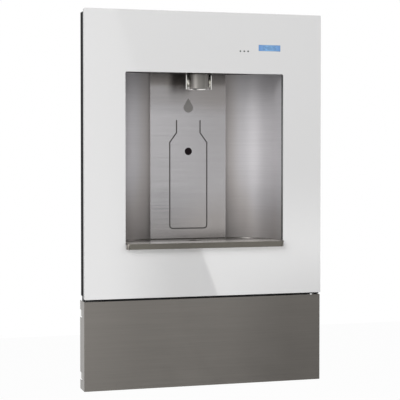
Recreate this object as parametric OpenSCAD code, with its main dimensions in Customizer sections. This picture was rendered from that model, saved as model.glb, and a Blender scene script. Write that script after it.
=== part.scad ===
// Bottle filling station for a stud wall: glass front, alcove with outlet and drain, filter door.
// Millimetres. The front faces -Y, +Z is up, y = 0 is the face of the wall, and the origin is the
// centre of the four stud screw holes in the wall box's flange.

/* [Front] */
// Width of the glass and of the door
face_w = 438; // [424:1:460]
// Height of the glass
glass_h = 504; // [480:1:560]
// Thickness of the glass
glass_t = 8; // [4:0.5:10]
// Distance from the wall to the back of the glass
stand_off = 34; // [30:1:45]
// Gap between the glass and the door
door_gap = 4; // [2:0.5:8]
// Height of the door
door_h = 156; // [140:1:200]
// How far the door's face lies behind the face of the glass
door_set_back = 3; // [1:0.5:6]

/* [Window] */
// Width of the glass on each side of the window
glass_side = 73; // [66:1:90]
// Height of the window from the alcove's floor
window_h = 300; // [280:1:320]
// Height of glass above the window
window_drop = 108; // [100:1:120]
// Corner radius of the window
window_r = 3; // [1:0.5:8]

/* [Alcove] */
// Depth of the alcove behind the glass
alcove_d = 109; // [95:1:112]
// Thickness of the alcove's sheet steel
liner_t = 1.2; // [0.8:0.1:2]
// Width of the raised column
column_w = 145; // [110:1:160]
// How far the column stands in front of the liner's back
column_proud = 6; // [4:0.5:9]
// Thickness of the column's sheet steel
column_t = 1.2; // [0.8:0.1:2]
// Depth of the ceiling above the window's top edge
ceiling_rise = 5; // [3:0.5:8]
// Diameter of the sensor eye
eye_d = 13.8; // [10:0.1:18]
// Height of the sensor eye above the alcove's floor
eye_z = 161.2; // [140:0.1:190]
// Width of the cut lines of the pictograms
line_w = 2.4; // [1.5:0.1:3]
// Width of the bottle's neck, between its lines' centres
neck_w = 45.5; // [36:0.5:52]
// Width of the bottle's body, between its lines' centres
bottle_w = 71.6; // [60:0.1:90]
// Height of the bottle from its base to the top of its neck
bottle_h = 200; // [180:1:210]
// Width of the drop
drop_w = 18; // [12:0.5:24]

/* [Outlet] */
// Diameter of the nozzle
nozzle_d = 34; // [28:0.5:38]
// How far the nozzle hangs below the window's top edge
nozzle_hang = 25.7; // [20:0.1:34]
// Distance from the glass front to the nozzle's axis
nozzle_set_back = 42; // [38:0.5:60]
// Outer diameter of the half-round guard
guard_d = 48; // [44:0.5:56]
// Thickness of the guard's sheet
guard_t = 1.5; // [1:0.1:2]

/* [Sill] */
// How far the lip stands in front of the glass
lip_out = 11; // [8:0.5:16]
// Height of the lip's face
lip_h = 10; // [8:0.5:12]
// Corner radius of the lip
lip_r = 6; // [3:0.5:9]
// Depth of the flat ledge, from the lip's front
ledge_d = 45; // [35:1:52]
// How far the basin lies below the ledge
basin_drop = 1.5; // [1:0.1:2.5]
// Diameter of the drain's mouth
drain_d = 24; // [20:0.5:28]
// Distance from the lip's front to the drain's centre
drain_set_back = 80; // [70:1:85]

/* [Wall box] */
// How far the wall box lies inside the face, on each side
box_side = 38; // [36:0.5:44]
// Depth of the wall box behind the wall's face
box_d = 95; // [94:1:100]
// Thickness of the wall box's sheet
box_t = 1.2; // [0.8:0.1:1.6]
// Distance from the face's edge to the stud screw holes
stud_edge = 15.8; // [14:0.1:18]
// Distance between the stud screw holes up
screw_rise = 560; // [540:1:600]
// Diameter of the stud screw holes
stud_hole_d = 5.5; // [4.5:0.1:7]
// Diameter of the conduit knockout
conduit_d = 22.2; // [20:0.1:28]

/* [Plumbing] */
// Outer diameter of the water tubes
tube_d = 6.35; // [6:0.05:9.5]
// Outer diameter of the drain tailpiece
tail_d = 31.8; // [28:0.1:34]
// Wall thickness of the drain tailpiece
tail_t = 1.5; // [1:0.1:2.5]
// Diameter of the filter cartridge
filter_d = 72; // [60:1:74]
// Distance from the wall box's side to the closed end of the filter cartridge
filter_room = 61.8; // [50:0.1:80]
// Stroke of the valve's plunger
plunger_stroke = 2.5; // [1.5:0.1:4]

/* [Hidden] */

$fn = 64;
// Overrun of every cut
cut = 1;
// Clearance between pieces that lie side by side
clear = 0.3;
// Radial clearance of the turning and sliding fits
fit = 0.05;

// Heights and depths of the front
face_h = glass_h + door_gap + door_h;
top_z = face_h / 2;
glass_low_z = top_z - glass_h;
door_top_z = glass_low_z - door_gap;
door_low_z = -face_h / 2;
glass_y = -stand_off - glass_t;
back_y = -stand_off;
door_y = glass_y + door_set_back;
sheet_t = 1.2;

// Window and alcove
window_w = face_w - 2 * glass_side;
window_top_z = top_z - window_drop;
floor_z = window_top_z - window_h;
ceiling_z = window_top_z + ceiling_rise;
liner_y = back_y + alcove_d;
column_y = liner_y - column_proud;
side_r = (window_w - column_w) / 2;
side_arc_y = liner_y - side_r;
eye_up_z = floor_z + eye_z;
eye_wall = 2;
barrel_d = eye_d + 2 * eye_wall;
gasket_t = 1.2;
gasket_lip = 6;
liner_lip = 12;

// Sill
lip_y = glass_y - lip_out;
sill_t = 1.5;
sill_low_z = floor_z - lip_h;
basin_z = floor_z - basin_drop;
drain_y = lip_y + drain_set_back;

// Outlet
nozzle_y = glass_y + nozzle_set_back;
nozzle_low_z = window_top_z - nozzle_hang;
nozzle_neck_d = 22;
nozzle_thread_d = 16;
nozzle_bore_d = 9;
shoulder_share = 0.1;
nozzle_shoulder_z = window_top_z + shoulder_share * ceiling_rise;
guard_low_z = nozzle_low_z - guard_t;
aerator_d = 24;
aerator_h = 10;
elbow_port_x = nozzle_thread_d;
ceiling_t = 2.5;
ceiling_top_z = ceiling_z + ceiling_t;

// Wall box
box_w = face_w - 2 * box_side;
stud_pitch = face_w - 2 * stud_edge;
flange_half = face_w / 2 - door_gap;
box_inset = 14;
box_top_z = top_z - box_inset;
box_low_z = door_low_z + 1.5 * box_inset;
box_half = box_w / 2;
box_in_x = box_half - box_t;
box_in_y = box_d - box_t;
flange_top_z = top_z - box_inset / 2;
flange_low_z = door_low_z + box_inset / 2;
conduit_y = 60;

// Frame
frame_in = 2;
frame_drop = 4;
frame_t = 2;
frame_half = face_w / 2 - frame_in;
frame_top_z = top_z - frame_drop;
frame_low_z = glass_low_z + frame_drop;
frame_lip = 22;
pad_t = 0.8;
frame_y = back_y + pad_t;
frame_back_y = -box_t;
tab_w = 18;
tab_h = 20;
frame_screw_in = 12;
frame_screw_x = frame_half - frame_t - frame_screw_in;
frame_screw_d = 4;
frame_tab_zs = [frame_low_z + 2 * tab_h, (frame_low_z + frame_top_z) / 2, frame_top_z - tab_h];
frame_hole_share = 0.88;

// Column and sensor
stud_d = 4;
stud_in = 15;
stud_end = 30;
column_nut_xs = [-1, 1] * (column_w / 2 - stud_in);
column_nut_zs = [floor_z + stud_end, ceiling_z - stud_end];
sensor_l = 10;
sensor_back_y = liner_y + sensor_l;

// Places of the plumbing and of the electric parts
valve_x = 90;
port_up = 30.5;
port_z = ceiling_top_z + port_up;
port_d = 14;
port_l = 10;
port_stop = 1;
valve_w = 40;
valve_low_z = port_z - port_l;
valve_h = 22;
valve_high_z = valve_low_z + valve_h;
chamber_d = 9.1;
guide_d = 13;
guide_cap = 3;
plunger_l = 24;
spring_l = 15.5;
seat_rise = 3;
plunger_low_z = port_z + seat_rise;
chamber_top_z = plunger_low_z + plunger_l + spring_l + plunger_stroke;
guide_top_z = chamber_top_z + guide_cap;
stiffener_rise = 5;
filter_y = 8;
filter_z = -245;
riser_in = 13.8;
riser_x = box_in_x - riser_in;
head_l = 44;
head_side = 34;
head_x = riser_x - head_side - head_l;
filter_end_gap = 1;
filter_l = head_x - filter_end_gap + box_in_x - filter_room;
head_d = 60;
neck_d = 28;
neck_l = 24;
seal_t = 2;
head_bore_d = neck_d + seal_t;
head_lug_y = 36;
head_lug_half = 16;
seal_in = 18;
seal_pitch = 3.5;
seal_xs = [head_x + seal_in, head_x + seal_in + seal_pitch];
bayonet_x = 8;
bayonet_w = 5;
bayonet_d = 36;
port_off = 14;
stop_in = 29.8;
stop_x = -box_in_x + stop_in;
stop_z = -235;
stop_port_y = 36;
inlet_l = 40;
inlet_end_y = stop_port_y + inlet_l;
stem_d = 7;
stop_ball_d = 14;
stop_wide = 24;
inlet_d = 14.3;
inlet_room = 8;
inlet_hole_d = inlet_d + inlet_room;
tail_gap = 5.9;
tail_y = box_in_y - tail_d / 2 - tail_gap;
spigot_swell = 1.8;
tail_pipe_d = tail_d - spigot_swell;
spigot_l = 15;
tail_end_up = 4;
tail_end_z = door_low_z + tail_end_up;
tail_room = 6;
tail_hole_d = tail_pipe_d + tail_room;
drain_top_z = basin_z - sill_t;
drain_gasket_t = 1.2;
strainer_t = 1.5;
strainer_sink = 4;
drain_rim = 14;
drain_flange_d = tail_d + 2 * drain_rim;
drain_flange_t = 2.5;
drain_seat_z = drain_top_z - drain_gasket_t - drain_flange_t;
drain_throat_l = 22;
socket_l = 14;
socket_top_z = drain_seat_z - drain_throat_l;
socket_low_z = socket_top_z - socket_l;
drain_thread_wall = 3;
drain_thread_d = tail_pipe_d + 2 * drain_thread_wall;
tray_x = -box_in_x;
drain_side = 59.8;
tray_w = box_in_x - drain_side;
tray_y = -20;
tray_d = 50;
tray_drop = 18;
tray_low_z = glass_low_z - tray_drop;
tray_h = 72;
tray_t = 2;
lid_t = 2;
board_t = 1.6;
board_gap = 7;
button_d = 8;
button_travel = 1.2;
collar_t = 1.2;
button_in = 30;
button_x = tray_x + tray_w - button_in;
button_y = tray_y + tray_d / 2;
power_in = 14.8;
power_x = -box_in_x + power_in;
conduit_in = 55;
conduit_x = power_x + conduit_in;
power_w = 90;
power_y = 34;
power_low_z = 240;
power_h = box_top_z - box_t - power_low_z;
power_t = 1.6;
power_ear = 8;
lead_d = 4;
main_lead_d = 5;
main_lead_in = 12.8;
main_lead_x = tray_x + main_lead_in;
valve_lead_in = 21.8;
valve_lead_x = tray_x + valve_lead_in;
valve_lead_z = 300;
sensor_lead_share = 0.665;
sensor_lead_x = tray_x + sensor_lead_share * tray_w;
power_lead_up = 20;
power_lead_z = glass_low_z + power_lead_up;

// Display
lcd_in = 47;
lcd_x = window_w / 2 - lcd_in;
lcd_w = 41.5;
lcd_h = 11;
lcd_drop = 67;
lcd_low_z = top_z - lcd_drop;
led_in = 81.4;
led_x = window_w / 2 - led_in;
led_pitch = 7.3;
led_d = 3;
led_drop = 68;
led_z = top_z - led_drop;
carrier_in = 92;
carrier_x = window_w / 2 - carrier_in;
carrier_w = 98;
carrier_low_z = 250;
carrier_h = 40;
carrier_t = 2;
carrier_back_y = -18;
display_board_y = -22;

// Door and hinge
door_back_y = -2.7;
door_mid_z = (door_top_z + door_low_z) / 2;
hinge_in = 5;
hinge_x = -face_w / 2 + hinge_in;
hinge_y = -16;
hinge_end = 23;
hinge_pitch = door_h - 2 * hinge_end;
pin_d = 3;
eye_r = 3.4;
eye_h = 11.4;
ear_t = 3;
catch_h = 30;
catch_w = 14;
catch_y = -14;
strike_t = 1.5;
hinge_zs = [door_mid_z - hinge_pitch / 2, door_mid_z + hinge_pitch / 2];

// A box given by its lowest and highest corner
module block(low, high) {
    translate(low) cube(high - low);
}

// A cylinder along X, from x = a to x = b
module rod_x(a, b, y, z, d) {
    translate([a, y, z]) rotate([0, 90, 0]) cylinder(h = b - a, d = d);
}

// A cylinder along Y, from y = a to y = b
module rod_y(x, a, b, z, d) {
    translate([x, a, z]) rotate([-90, 0, 0]) cylinder(h = b - a, d = d);
}

// A cylinder along Z, from z = a to z = b
module rod_z(x, y, a, b, d) {
    translate([x, y, a]) cylinder(h = b - a, d = d);
}

// A hexagon nut along Z with a round hole
module hex_z(x, y, a, b, d, hole_d) {
    difference() {
        translate([x, y, a]) cylinder(h = b - a, d = d, $fn = 6);
        rod_z(x, y, a - cut, b + cut, hole_d);
    }
}

// A rectangle with round corners, drawn from its lower left corner
module round_rect(w, h, r) {
    translate([r, 0]) square([w - 2 * r, h]);
    translate([0, r]) square([w, h - 2 * r]);
    for (x = [r, w - r], y = [r, h - r]) translate([x, y]) circle(r = r);
}

// A flat plate in the XZ plane whose outline is the children, from y = a to y = b
module upright(a, b) {
    translate([0, b, 0]) rotate([90, 0, 0]) linear_extrude(b - a) children();
}

// A screw along Y: pan head in front of y = seat, shank behind it
module screw_y(x, seat, z, d, length) {
    head_d = 2 * d;
    head_share = 0.6;
    slot_share = 0.18;
    slot_l_share = 0.9;
    head_t = head_share * d;
    difference() {
        union() {
            rod_y(x, seat - head_t, seat, z, head_d);
            rod_y(x, seat, seat + length, z, d);
        }
        for (a = [0, 90]) translate([x, seat - head_t, z]) rotate([0, a, 0])
            cube([slot_l_share * d, head_t, slot_share * d], center = true);
    }
}

// A pipe or lead of round section through the points, with every corner bent at radius bend
module run(points, d, bend, bore = 0) {
    last = len(points) - 1;
    for (i = [0 : last - 1]) {
        way = points[i + 1] - points[i];
        along = way / norm(way);
        start = i == 0 ? 0 : bend;
        end = i == last - 1 ? 0 : bend;
        leg(points[i] + start * along, norm(way) - start - end, along, d, bore);
    }
    for (i = [1 : 1 : last - 1]) {
        before = (points[i] - points[i - 1]) / norm(points[i] - points[i - 1]);
        after = (points[i + 1] - points[i]) / norm(points[i + 1] - points[i]);
        across = cross(before, after);
        centre = points[i] - bend * before + bend * after;
        multmatrix([
            [-after[0], before[0], across[0], centre[0]],
            [-after[1], before[1], across[1], centre[1]],
            [-after[2], before[2], across[2], centre[2]],
            [0, 0, 0, 1]
        ]) rotate_extrude(angle = 90) translate([bend, 0]) ring(d, bore);
    }
}

// The section of a run: a disc, or a ring where there is a bore
module ring(d, bore) {
    difference() {
        circle(d = d);
        if (bore > 0) circle(d = bore);
    }
}

// One straight stretch of a run, along a row axis
module leg(start, length, along, d, bore) {
    turn = along[0] > 0 ? [0, 90, 0] : along[0] < 0 ? [0, -90, 0] :
        along[1] > 0 ? [-90, 0, 0] : along[1] < 0 ? [90, 0, 0] :
        along[2] < 0 ? [180, 0, 0] : [0, 0, 0];
    translate(start) rotate(turn) linear_extrude(length) ring(d, bore);
}

// A coil spring along Z: one round wire swept along its helix
module spring(x, y, low, high, coil_d, wire_d, turns) {
    sides = 6;
    per_turn = 16;
    steps = turns * per_turn;
    rise = high - low - wire_d;
    points = [for (i = [0 : steps]) for (j = [0 : sides - 1])
        let (a = 360 * i / per_turn, b = 360 * j / sides,
            r = (coil_d - wire_d) / 2 + wire_d / 2 * cos(b))
        [r * cos(a), r * sin(a), wire_d / 2 + rise * i / steps + wire_d / 2 * sin(b)]];
    sides_faces = [for (i = [0 : steps - 1]) for (j = [0 : sides - 1])
        let (k = (j + 1) % sides)
        each [[i * sides + j, i * sides + k, (i + 1) * sides + k],
            [i * sides + j, (i + 1) * sides + k, (i + 1) * sides + j]]];
    first = [[for (j = [0 : sides - 1]) sides - 1 - j]];
    final = [[for (j = [0 : sides - 1]) steps * sides + j]];
    translate([x, y, low]) polyhedron(points, concat(sides_faces, first, final));
}

// The alcove's plan, from its front at y = front to its back, grown by o
module alcove_plan(front, o) {
    half = window_w / 2 + o;
    intersection() {
        union() {
            translate([-half, front]) square([2 * half, side_arc_y - front]);
            translate([-column_w / 2, front]) square([column_w, liner_y + o - front]);
            for (s = [-1, 1]) translate([s * column_w / 2, side_arc_y]) circle(r = side_r + o);
        }
        translate([-half, front]) square([2 * half, liner_y + o - front]);
    }
}

module wall_box() {
    color("gainsboro") difference() {
        union() {
            block([-box_half, -box_t, box_low_z], [box_half, box_d, box_top_z]);
            block([-flange_half, -box_t, flange_low_z], [flange_half, 0, flange_top_z]);
        }
        block([-box_in_x, -box_t - cut, box_low_z + box_t], [box_in_x, box_in_y, box_top_z - box_t]);
        for (x = [-stud_pitch, stud_pitch] / 2, z = [-screw_rise, screw_rise] / 2)
            rod_y(x, -box_t - cut, cut, z, stud_hole_d);
        for (x = [-1, 1] * frame_screw_x, z = frame_tab_zs)
            rod_y(x, -box_t - cut, cut, z, frame_hole_share * frame_screw_d);
        rod_z(conduit_x, conduit_y, box_top_z - box_t - cut, box_top_z + cut, conduit_d);
        rod_y(stop_x, box_in_y - cut, box_d + cut, stop_z, inlet_hole_d);
        rod_z(0, tail_y, box_low_z - cut, box_low_z + box_t + cut, tail_hole_d);
    }
}

module wall_box_grommets() {
    lip = 2;
    wall = 1.5;
    color("dimgray") {
        difference() {
            union() {
                rod_y(stop_x, box_in_y - wall, box_d, stop_z, inlet_hole_d);
                rod_y(stop_x, box_in_y - wall, box_in_y, stop_z, inlet_hole_d + 2 * lip);
            }
            rod_y(stop_x, box_in_y - wall - cut, box_d + cut, stop_z, inlet_hole_d - 2 * wall);
        }
        difference() {
            union() {
                rod_z(0, tail_y, box_low_z, box_low_z + box_t + wall, tail_hole_d);
                rod_z(0, tail_y, box_low_z + box_t, box_low_z + box_t + wall, tail_hole_d + 2 * lip);
            }
            rod_z(0, tail_y, box_low_z - cut, box_low_z + box_t + wall + cut, tail_pipe_d + clear);
        }
    }
}

module face_frame() {
    color([0.09, 0.09, 0.1]) difference() {
        union() {
            difference() {
                block([-frame_half, frame_y, frame_low_z], [frame_half, frame_back_y, frame_top_z]);
                block([-frame_half + frame_t, frame_y + frame_t, frame_low_z + frame_t],
                    [frame_half - frame_t, frame_back_y + cut, frame_top_z - frame_t]);
                block([-frame_half + frame_lip, frame_y - cut, frame_low_z + frame_lip / 2],
                    [frame_half - frame_lip, frame_y + frame_t + cut, frame_top_z - frame_lip]);
                block([-frame_half + frame_t, tray_y - 2 * clear, frame_low_z - cut],
                    [frame_half - frame_t, frame_back_y + cut, frame_low_z + frame_t + cut]);
            }
            for (s = [-1, 1], z = frame_tab_zs)
                translate([s * (frame_half - tab_w / 2), frame_back_y - frame_t / 2, z])
                    cube([tab_w, frame_t, tab_h], center = true);
        }
        for (x = [-1, 1] * frame_screw_x, z = frame_tab_zs)
            rod_y(x, frame_back_y - frame_t - cut, frame_back_y + cut, z, frame_screw_d + clear);
    }
}

module frame_screws() {
    color("silver") for (x = [-1, 1] * frame_screw_x, z = frame_tab_zs)
        screw_y(x, frame_back_y - frame_t, z, frame_hole_share * frame_screw_d - fit,
            frame_t + box_t);
}

module glass_pads() {
    inset = 3;
    width = 10;
    low = frame_low_z + inset / 2;
    color("darkgray") {
        for (s = [-1, 1]) translate([s * (frame_half - inset - width / 2), back_y + pad_t / 2,
            (frame_low_z + frame_top_z) / 2])
            cube([width, pad_t, frame_top_z - frame_low_z - 4 * width], center = true);
        block([-frame_half + inset + 2 * width, back_y, frame_top_z - inset - width],
            [frame_half - inset - 2 * width, frame_y, frame_top_z - inset]);
        block([-frame_half + inset + 2 * width, back_y, low],
            [frame_half - inset - 2 * width, frame_y, low + width / 2]);
    }
}

module glass_panel() {
    edge_r = 1.5;
    low = floor_z - sill_t - clear;
    color("white") difference() {
        upright(glass_y, back_y) difference() {
            translate([-face_w / 2, glass_low_z]) round_rect(face_w, glass_h, edge_r);
            translate([-window_w / 2, low]) {
                round_rect(window_w, window_top_z - low, window_r);
                square([window_w, window_r]);
            }
            translate([lcd_x - fit, lcd_low_z - fit]) square([lcd_w + 2 * fit, lcd_h + 2 * fit]);
        }
        for (i = [0 : 2])
            rod_y(led_x + i * led_pitch, glass_y - cut, back_y + cut, led_z, led_d + 2 * fit);
    }
}

module display_window() {
    color([0.45, 0.65, 0.9])
        block([lcd_x, glass_y, lcd_low_z], [lcd_x + lcd_w, back_y, lcd_low_z + lcd_h]);
}

module status_lenses() {
    color("lightgreen") for (i = [0 : 2])
        rod_y(led_x + i * led_pitch, glass_y, back_y, led_z, led_d);
}

module display_carrier() {
    color("dimgray") difference() {
        block([carrier_x, back_y, carrier_low_z],
            [carrier_x + carrier_w, carrier_back_y, carrier_low_z + carrier_h]);
        block([carrier_x + carrier_t, back_y - cut, carrier_low_z + carrier_t],
            [carrier_x + carrier_w - carrier_t, carrier_back_y - carrier_t,
            carrier_low_z + carrier_h - carrier_t]);
        rod_x(carrier_x - cut, carrier_x + carrier_t + cut, display_board_y - board_t - 2 * carrier_t,
            carrier_low_z + carrier_h / 2, main_lead_d + clear);
    }
}

module display_board() {
    led_body = 4 * led_d / 3;
    chip = 7;
    color("darkgreen") block([carrier_x + carrier_t, display_board_y, carrier_low_z + carrier_t],
        [carrier_x + carrier_w - carrier_t, carrier_back_y - carrier_t,
        carrier_low_z + carrier_h - carrier_t]);
    color("white") for (i = [0 : 2])
        rod_y(led_x + i * led_pitch, back_y + clear, display_board_y, led_z, led_body);
    color("black") block([led_x - chip, display_board_y - board_t, carrier_low_z + 2 * carrier_t],
        [led_x, display_board_y, carrier_low_z + 2 * carrier_t + chip / 2]);
}

module display_module() {
    rim = 3;
    color("slategray") block([lcd_x - rim, back_y + clear, lcd_low_z - rim],
        [lcd_x + lcd_w + rim, display_board_y, lcd_low_z + lcd_h + rim]);
}

module window_gasket() {
    low = floor_z - sill_t - clear;
    color([0.12, 0.12, 0.12]) upright(back_y, back_y + gasket_t) difference() {
        translate([-window_w / 2 - gasket_lip, low])
            square([window_w + 2 * gasket_lip, window_top_z + gasket_lip - low]);
        translate([-window_w / 2, low - window_r])
            round_rect(window_w, window_top_z - low + window_r, window_r);
    }
}

module alcove_liner() {
    front = back_y + gasket_t;
    nut_hole_d = 4.6;
    color([0.72, 0.7, 0.69]) difference() {
        union() {
            translate([0, 0, floor_z]) linear_extrude(ceiling_z - floor_z) difference() {
                alcove_plan(front, liner_t);
                translate([0, -cut]) alcove_plan(front - cut, 0);
                alcove_plan(front, 0);
            }
            for (s = [-1, 1]) translate([s * (window_w / 2 + liner_lip / 2), front + liner_t / 2,
                (floor_z + ceiling_z) / 2])
                cube([liner_lip, liner_t, ceiling_z - floor_z], center = true);
        }
        rod_y(0, liner_y - cut, liner_y + liner_t + cut, eye_up_z, barrel_d + clear);
        for (x = column_nut_xs, z = column_nut_zs)
            rod_y(x, liner_y - cut, liner_y + liner_t + cut, z, nut_hole_d);
    }
}

module alcove_ceiling() {
    front = back_y + gasket_t;
    vent_d = 5;
    color([0.13, 0.13, 0.14]) difference() {
        union() {
            translate([0, 0, ceiling_z]) linear_extrude(ceiling_t) alcove_plan(front, liner_t);
            block([-window_w / 2 - liner_lip, front, ceiling_z],
                [window_w / 2 + liner_lip, front + ceiling_t, ceiling_z + liner_lip]);
        }
        rod_z(0, nozzle_y, ceiling_z - cut, ceiling_top_z + cut, nozzle_thread_d + clear);
        for (x = [-1, 1] * 3 * nozzle_neck_d, y = nozzle_y + [0, nozzle_neck_d])
            rod_z(x, y, ceiling_z - cut, ceiling_top_z + cut, vent_d);
    }
}

// A straight stroke of the pictogram from a to b, with round ends
module stroke(a, b) {
    way = b - a;
    translate(a) rotate(atan2(way[1], way[0])) {
        translate([0, -line_w / 2]) square([norm(way), line_w]);
        for (x = [0, norm(way)]) translate([x, 0]) circle(d = line_w);
    }
}

// The bottle's outline, its base line at height 0
module bottle_line() {
    half = bottle_w / 2;
    corner = 5.5;
    shoulder_share = 0.798;
    neck_share = 0.8875;
    shoulder = shoulder_share * bottle_h;
    neck = neck_share * bottle_h;
    for (s = [-1, 1]) scale([s, 1]) {
        stroke([neck_w / 2, bottle_h], [neck_w / 2, neck]);
        stroke([neck_w / 2, neck], [half, shoulder]);
        stroke([half, shoulder], [half, corner]);
        translate([half - corner, corner]) intersection() {
            difference() {
                circle(r = corner + line_w / 2);
                circle(r = corner - line_w / 2);
            }
            translate([0, -2 * corner]) square(2 * corner);
        }
    }
    stroke([corner - half, 0], [half - corner, 0]);
}

// The drop, its round end centred at height 0
module drop_shape() {
    r = drop_w / 2;
    tip_share = 1.93;
    tip = tip_share * r;
    turn = acos(r / tip);
    circle(r = r);
    polygon([[0, tip], [r * sin(turn), r * cos(turn)], [-r * sin(turn), r * cos(turn)]]);
}

module alcove_column() {
    groove_d = column_t / 2;
    base_up = 18.3;
    drop_up = 15;
    color([0.74, 0.72, 0.71]) difference() {
        union() {
            block([-column_w / 2, column_y, floor_z], [column_w / 2, liner_y, ceiling_z]);
            for (x = column_nut_xs, z = column_nut_zs)
                rod_y(x, liner_y - column_t, liner_y + 3 * stud_d, z, stud_d);
        }
        difference() {
            block([-column_w / 2 + column_t, column_y + column_t, floor_z - cut],
                [column_w / 2 - column_t, liner_y, ceiling_z + cut]);
            for (x = column_nut_xs, z = column_nut_zs)
                rod_y(x, column_y, liner_y + cut, z, stud_d);
        }
        translate([0, column_y + groove_d, floor_z + base_up]) rotate([90, 0, 0])
            linear_extrude(groove_d + cut) {
                bottle_line();
                translate([0, bottle_h + drop_up + drop_w / 2]) drop_shape();
            }
        rod_y(0, column_y - cut, liner_y, eye_up_z, eye_d + 2 * fit);
    }
}

module column_nuts() {
    nut_d = 2 * stud_d;
    nut_share = 0.8;
    color("silver") for (x = column_nut_xs, z = column_nut_zs)
        translate([x, liner_y + liner_t, z]) rotate([-90, 0, 0])
            hex_z(0, 0, 0, nut_share * stud_d, nut_d, stud_d + 2 * fit);
}

module sensor_lens() {
    color([0.02, 0.02, 0.03]) rod_y(0, column_y + clear, liner_y - column_t, eye_up_z, eye_d);
}

module sensor_body() {
    color([0.1, 0.1, 0.1]) {
        rod_y(0, liner_y - column_t, liner_y, eye_up_z, barrel_d + 2 * eye_wall);
        rod_y(0, liner_y, sensor_back_y, eye_up_z, barrel_d);
    }
}

module sensor_nut() {
    nut_t = 5;
    nut_share = 1.5;
    color("gray") translate([0, liner_y + liner_t, eye_up_z]) rotate([-90, 0, 0])
        hex_z(0, 0, 0, nut_t, nut_share * barrel_d, barrel_d + 2 * fit);
}

module sill_tray() {
    half = window_w / 2 - 2 * fit;
    lip_gap = 1;
    lip_half = window_w / 2 - lip_gap;
    front = back_y + gasket_t;
    rim = 8;
    apron = sill_t;
    basin_front = lip_y + ledge_d;
    color([0.66, 0.64, 0.6]) difference() {
        union() {
            translate([0, 0, sill_low_z]) linear_extrude(lip_h)
                translate([-lip_half, lip_y]) round_rect(2 * lip_half, glass_y - lip_y + lip_r, lip_r);
            block([-half, glass_y - lip_r, floor_z - sill_t], [half, front, floor_z]);
            translate([0, 0, floor_z - sill_t]) linear_extrude(sill_t)
                alcove_plan(front, liner_t);
            translate([0, 0, drain_top_z]) linear_extrude(floor_z - drain_top_z) intersection() {
                alcove_plan(front, -rim + sill_t);
                translate([-half, basin_front - sill_t]) square([2 * half, box_d]);
            }
        }
        block([-window_w, glass_y - clear, sill_low_z - cut], [window_w, back_y + clear,
            floor_z - sill_t]);
        translate([0, 0, sill_low_z + apron]) linear_extrude(lip_h - sill_t - apron)
            translate([-lip_half + apron, lip_y + apron])
            round_rect(2 * (lip_half - apron), glass_y - lip_y + lip_r, lip_r - apron);
        translate([0, 0, basin_z]) linear_extrude(basin_drop + cut) intersection() {
            alcove_plan(front, -rim);
            translate([-half, basin_front]) square([2 * half, box_d]);
        }
        rod_z(0, drain_y, drain_top_z - cut, floor_z + cut, drain_d);
    }
}

module nozzle_body() {
    soft = 1.5;
    neck_top = ceiling_z;
    thread_l = 18.5;
    thread_top = ceiling_top_z + thread_l;
    color([0.7, 0.68, 0.65]) translate([0, nozzle_y, 0]) rotate_extrude() difference() {
        union() {
            translate([0, nozzle_low_z]) square([nozzle_d / 2, nozzle_shoulder_z - soft - nozzle_low_z]);
            translate([0, nozzle_low_z]) square([nozzle_d / 2 - soft, nozzle_shoulder_z - nozzle_low_z]);
            translate([nozzle_d / 2 - soft, nozzle_shoulder_z - soft]) circle(r = soft);
            translate([0, nozzle_low_z]) square([nozzle_neck_d / 2, neck_top - nozzle_low_z]);
            translate([0, nozzle_low_z]) square([nozzle_thread_d / 2, thread_top - nozzle_low_z]);
        }
        translate([0, nozzle_low_z - cut]) square([nozzle_bore_d / 2, thread_top - nozzle_low_z + 2 * cut]);
        translate([0, nozzle_low_z - cut]) square([aerator_d / 2 + fit, aerator_h + cut]);
        translate([-nozzle_d, nozzle_low_z - cut]) square([nozzle_d, thread_top]);
    }
}

module nozzle_aerator() {
    hole_d = 1.6;
    rings = [1, 2, 3];
    color("lightgray") difference() {
        rod_z(0, nozzle_y, nozzle_low_z + clear, nozzle_low_z + aerator_h, aerator_d);
        for (k = rings, i = [0 : 6 * k - 1]) translate([0, nozzle_y, 0]) rotate(60 * i / k)
            rod_z(k * 2 * hole_d, 0, nozzle_low_z - cut, nozzle_low_z + aerator_h + cut, hole_d);
    }
}

module nozzle_guard() {
    screw_lip = 9;
    top = ceiling_z;
    color([0.85, 0.84, 0.83]) difference() {
        union() {
            rod_z(0, nozzle_y, guard_low_z, top, guard_d);
            translate([-guard_d / 2 - screw_lip, nozzle_y + clear, top - guard_t])
                cube([guard_d + 2 * screw_lip, guard_d / 2 - screw_lip, guard_t]);
        }
        rod_z(0, nozzle_y, guard_low_z - cut, top + cut, guard_d - 2 * guard_t);
        block([-guard_d / 2 - cut, nozzle_y - guard_d, guard_low_z - cut],
            [guard_d / 2 + cut, nozzle_y, top + cut]);
    }
}

module nozzle_nut() {
    nut_t = 6;
    nut_share = 1.8;
    color("silver") hex_z(0, nozzle_y, ceiling_top_z, ceiling_top_z + nut_t,
        nut_share * nozzle_thread_d, nozzle_thread_d + 2 * fit);
}

module outlet_elbow() {
    up = 8;
    socket = 11;
    wall = 3;
    low = ceiling_top_z + up;
    seat = low + socket;
    body_d = nozzle_thread_d + 2 * wall;
    high = port_z + port_d / 2;
    way_d = 5;
    color("whitesmoke") difference() {
        union() {
            rod_z(0, nozzle_y, low, high, body_d);
            rod_x(0, body_d / 2 + port_l + way_d, nozzle_y, port_z, port_d);
        }
        rod_z(0, nozzle_y, low - cut, seat, nozzle_thread_d + 2 * fit);
        rod_z(0, nozzle_y, seat - cut, port_z, way_d);
        rod_x(0, body_d, nozzle_y, port_z, way_d);
        rod_x(elbow_port_x, body_d + port_l + way_d, nozzle_y, port_z, tube_d + 2 * fit);
    }
}

module outlet_tube() {
    color([0.85, 0.9, 0.95]) tube([[elbow_port_x, nozzle_y, port_z],
        [valve_x - valve_w / 2 - port_stop, nozzle_y, port_z]]);
}

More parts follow.
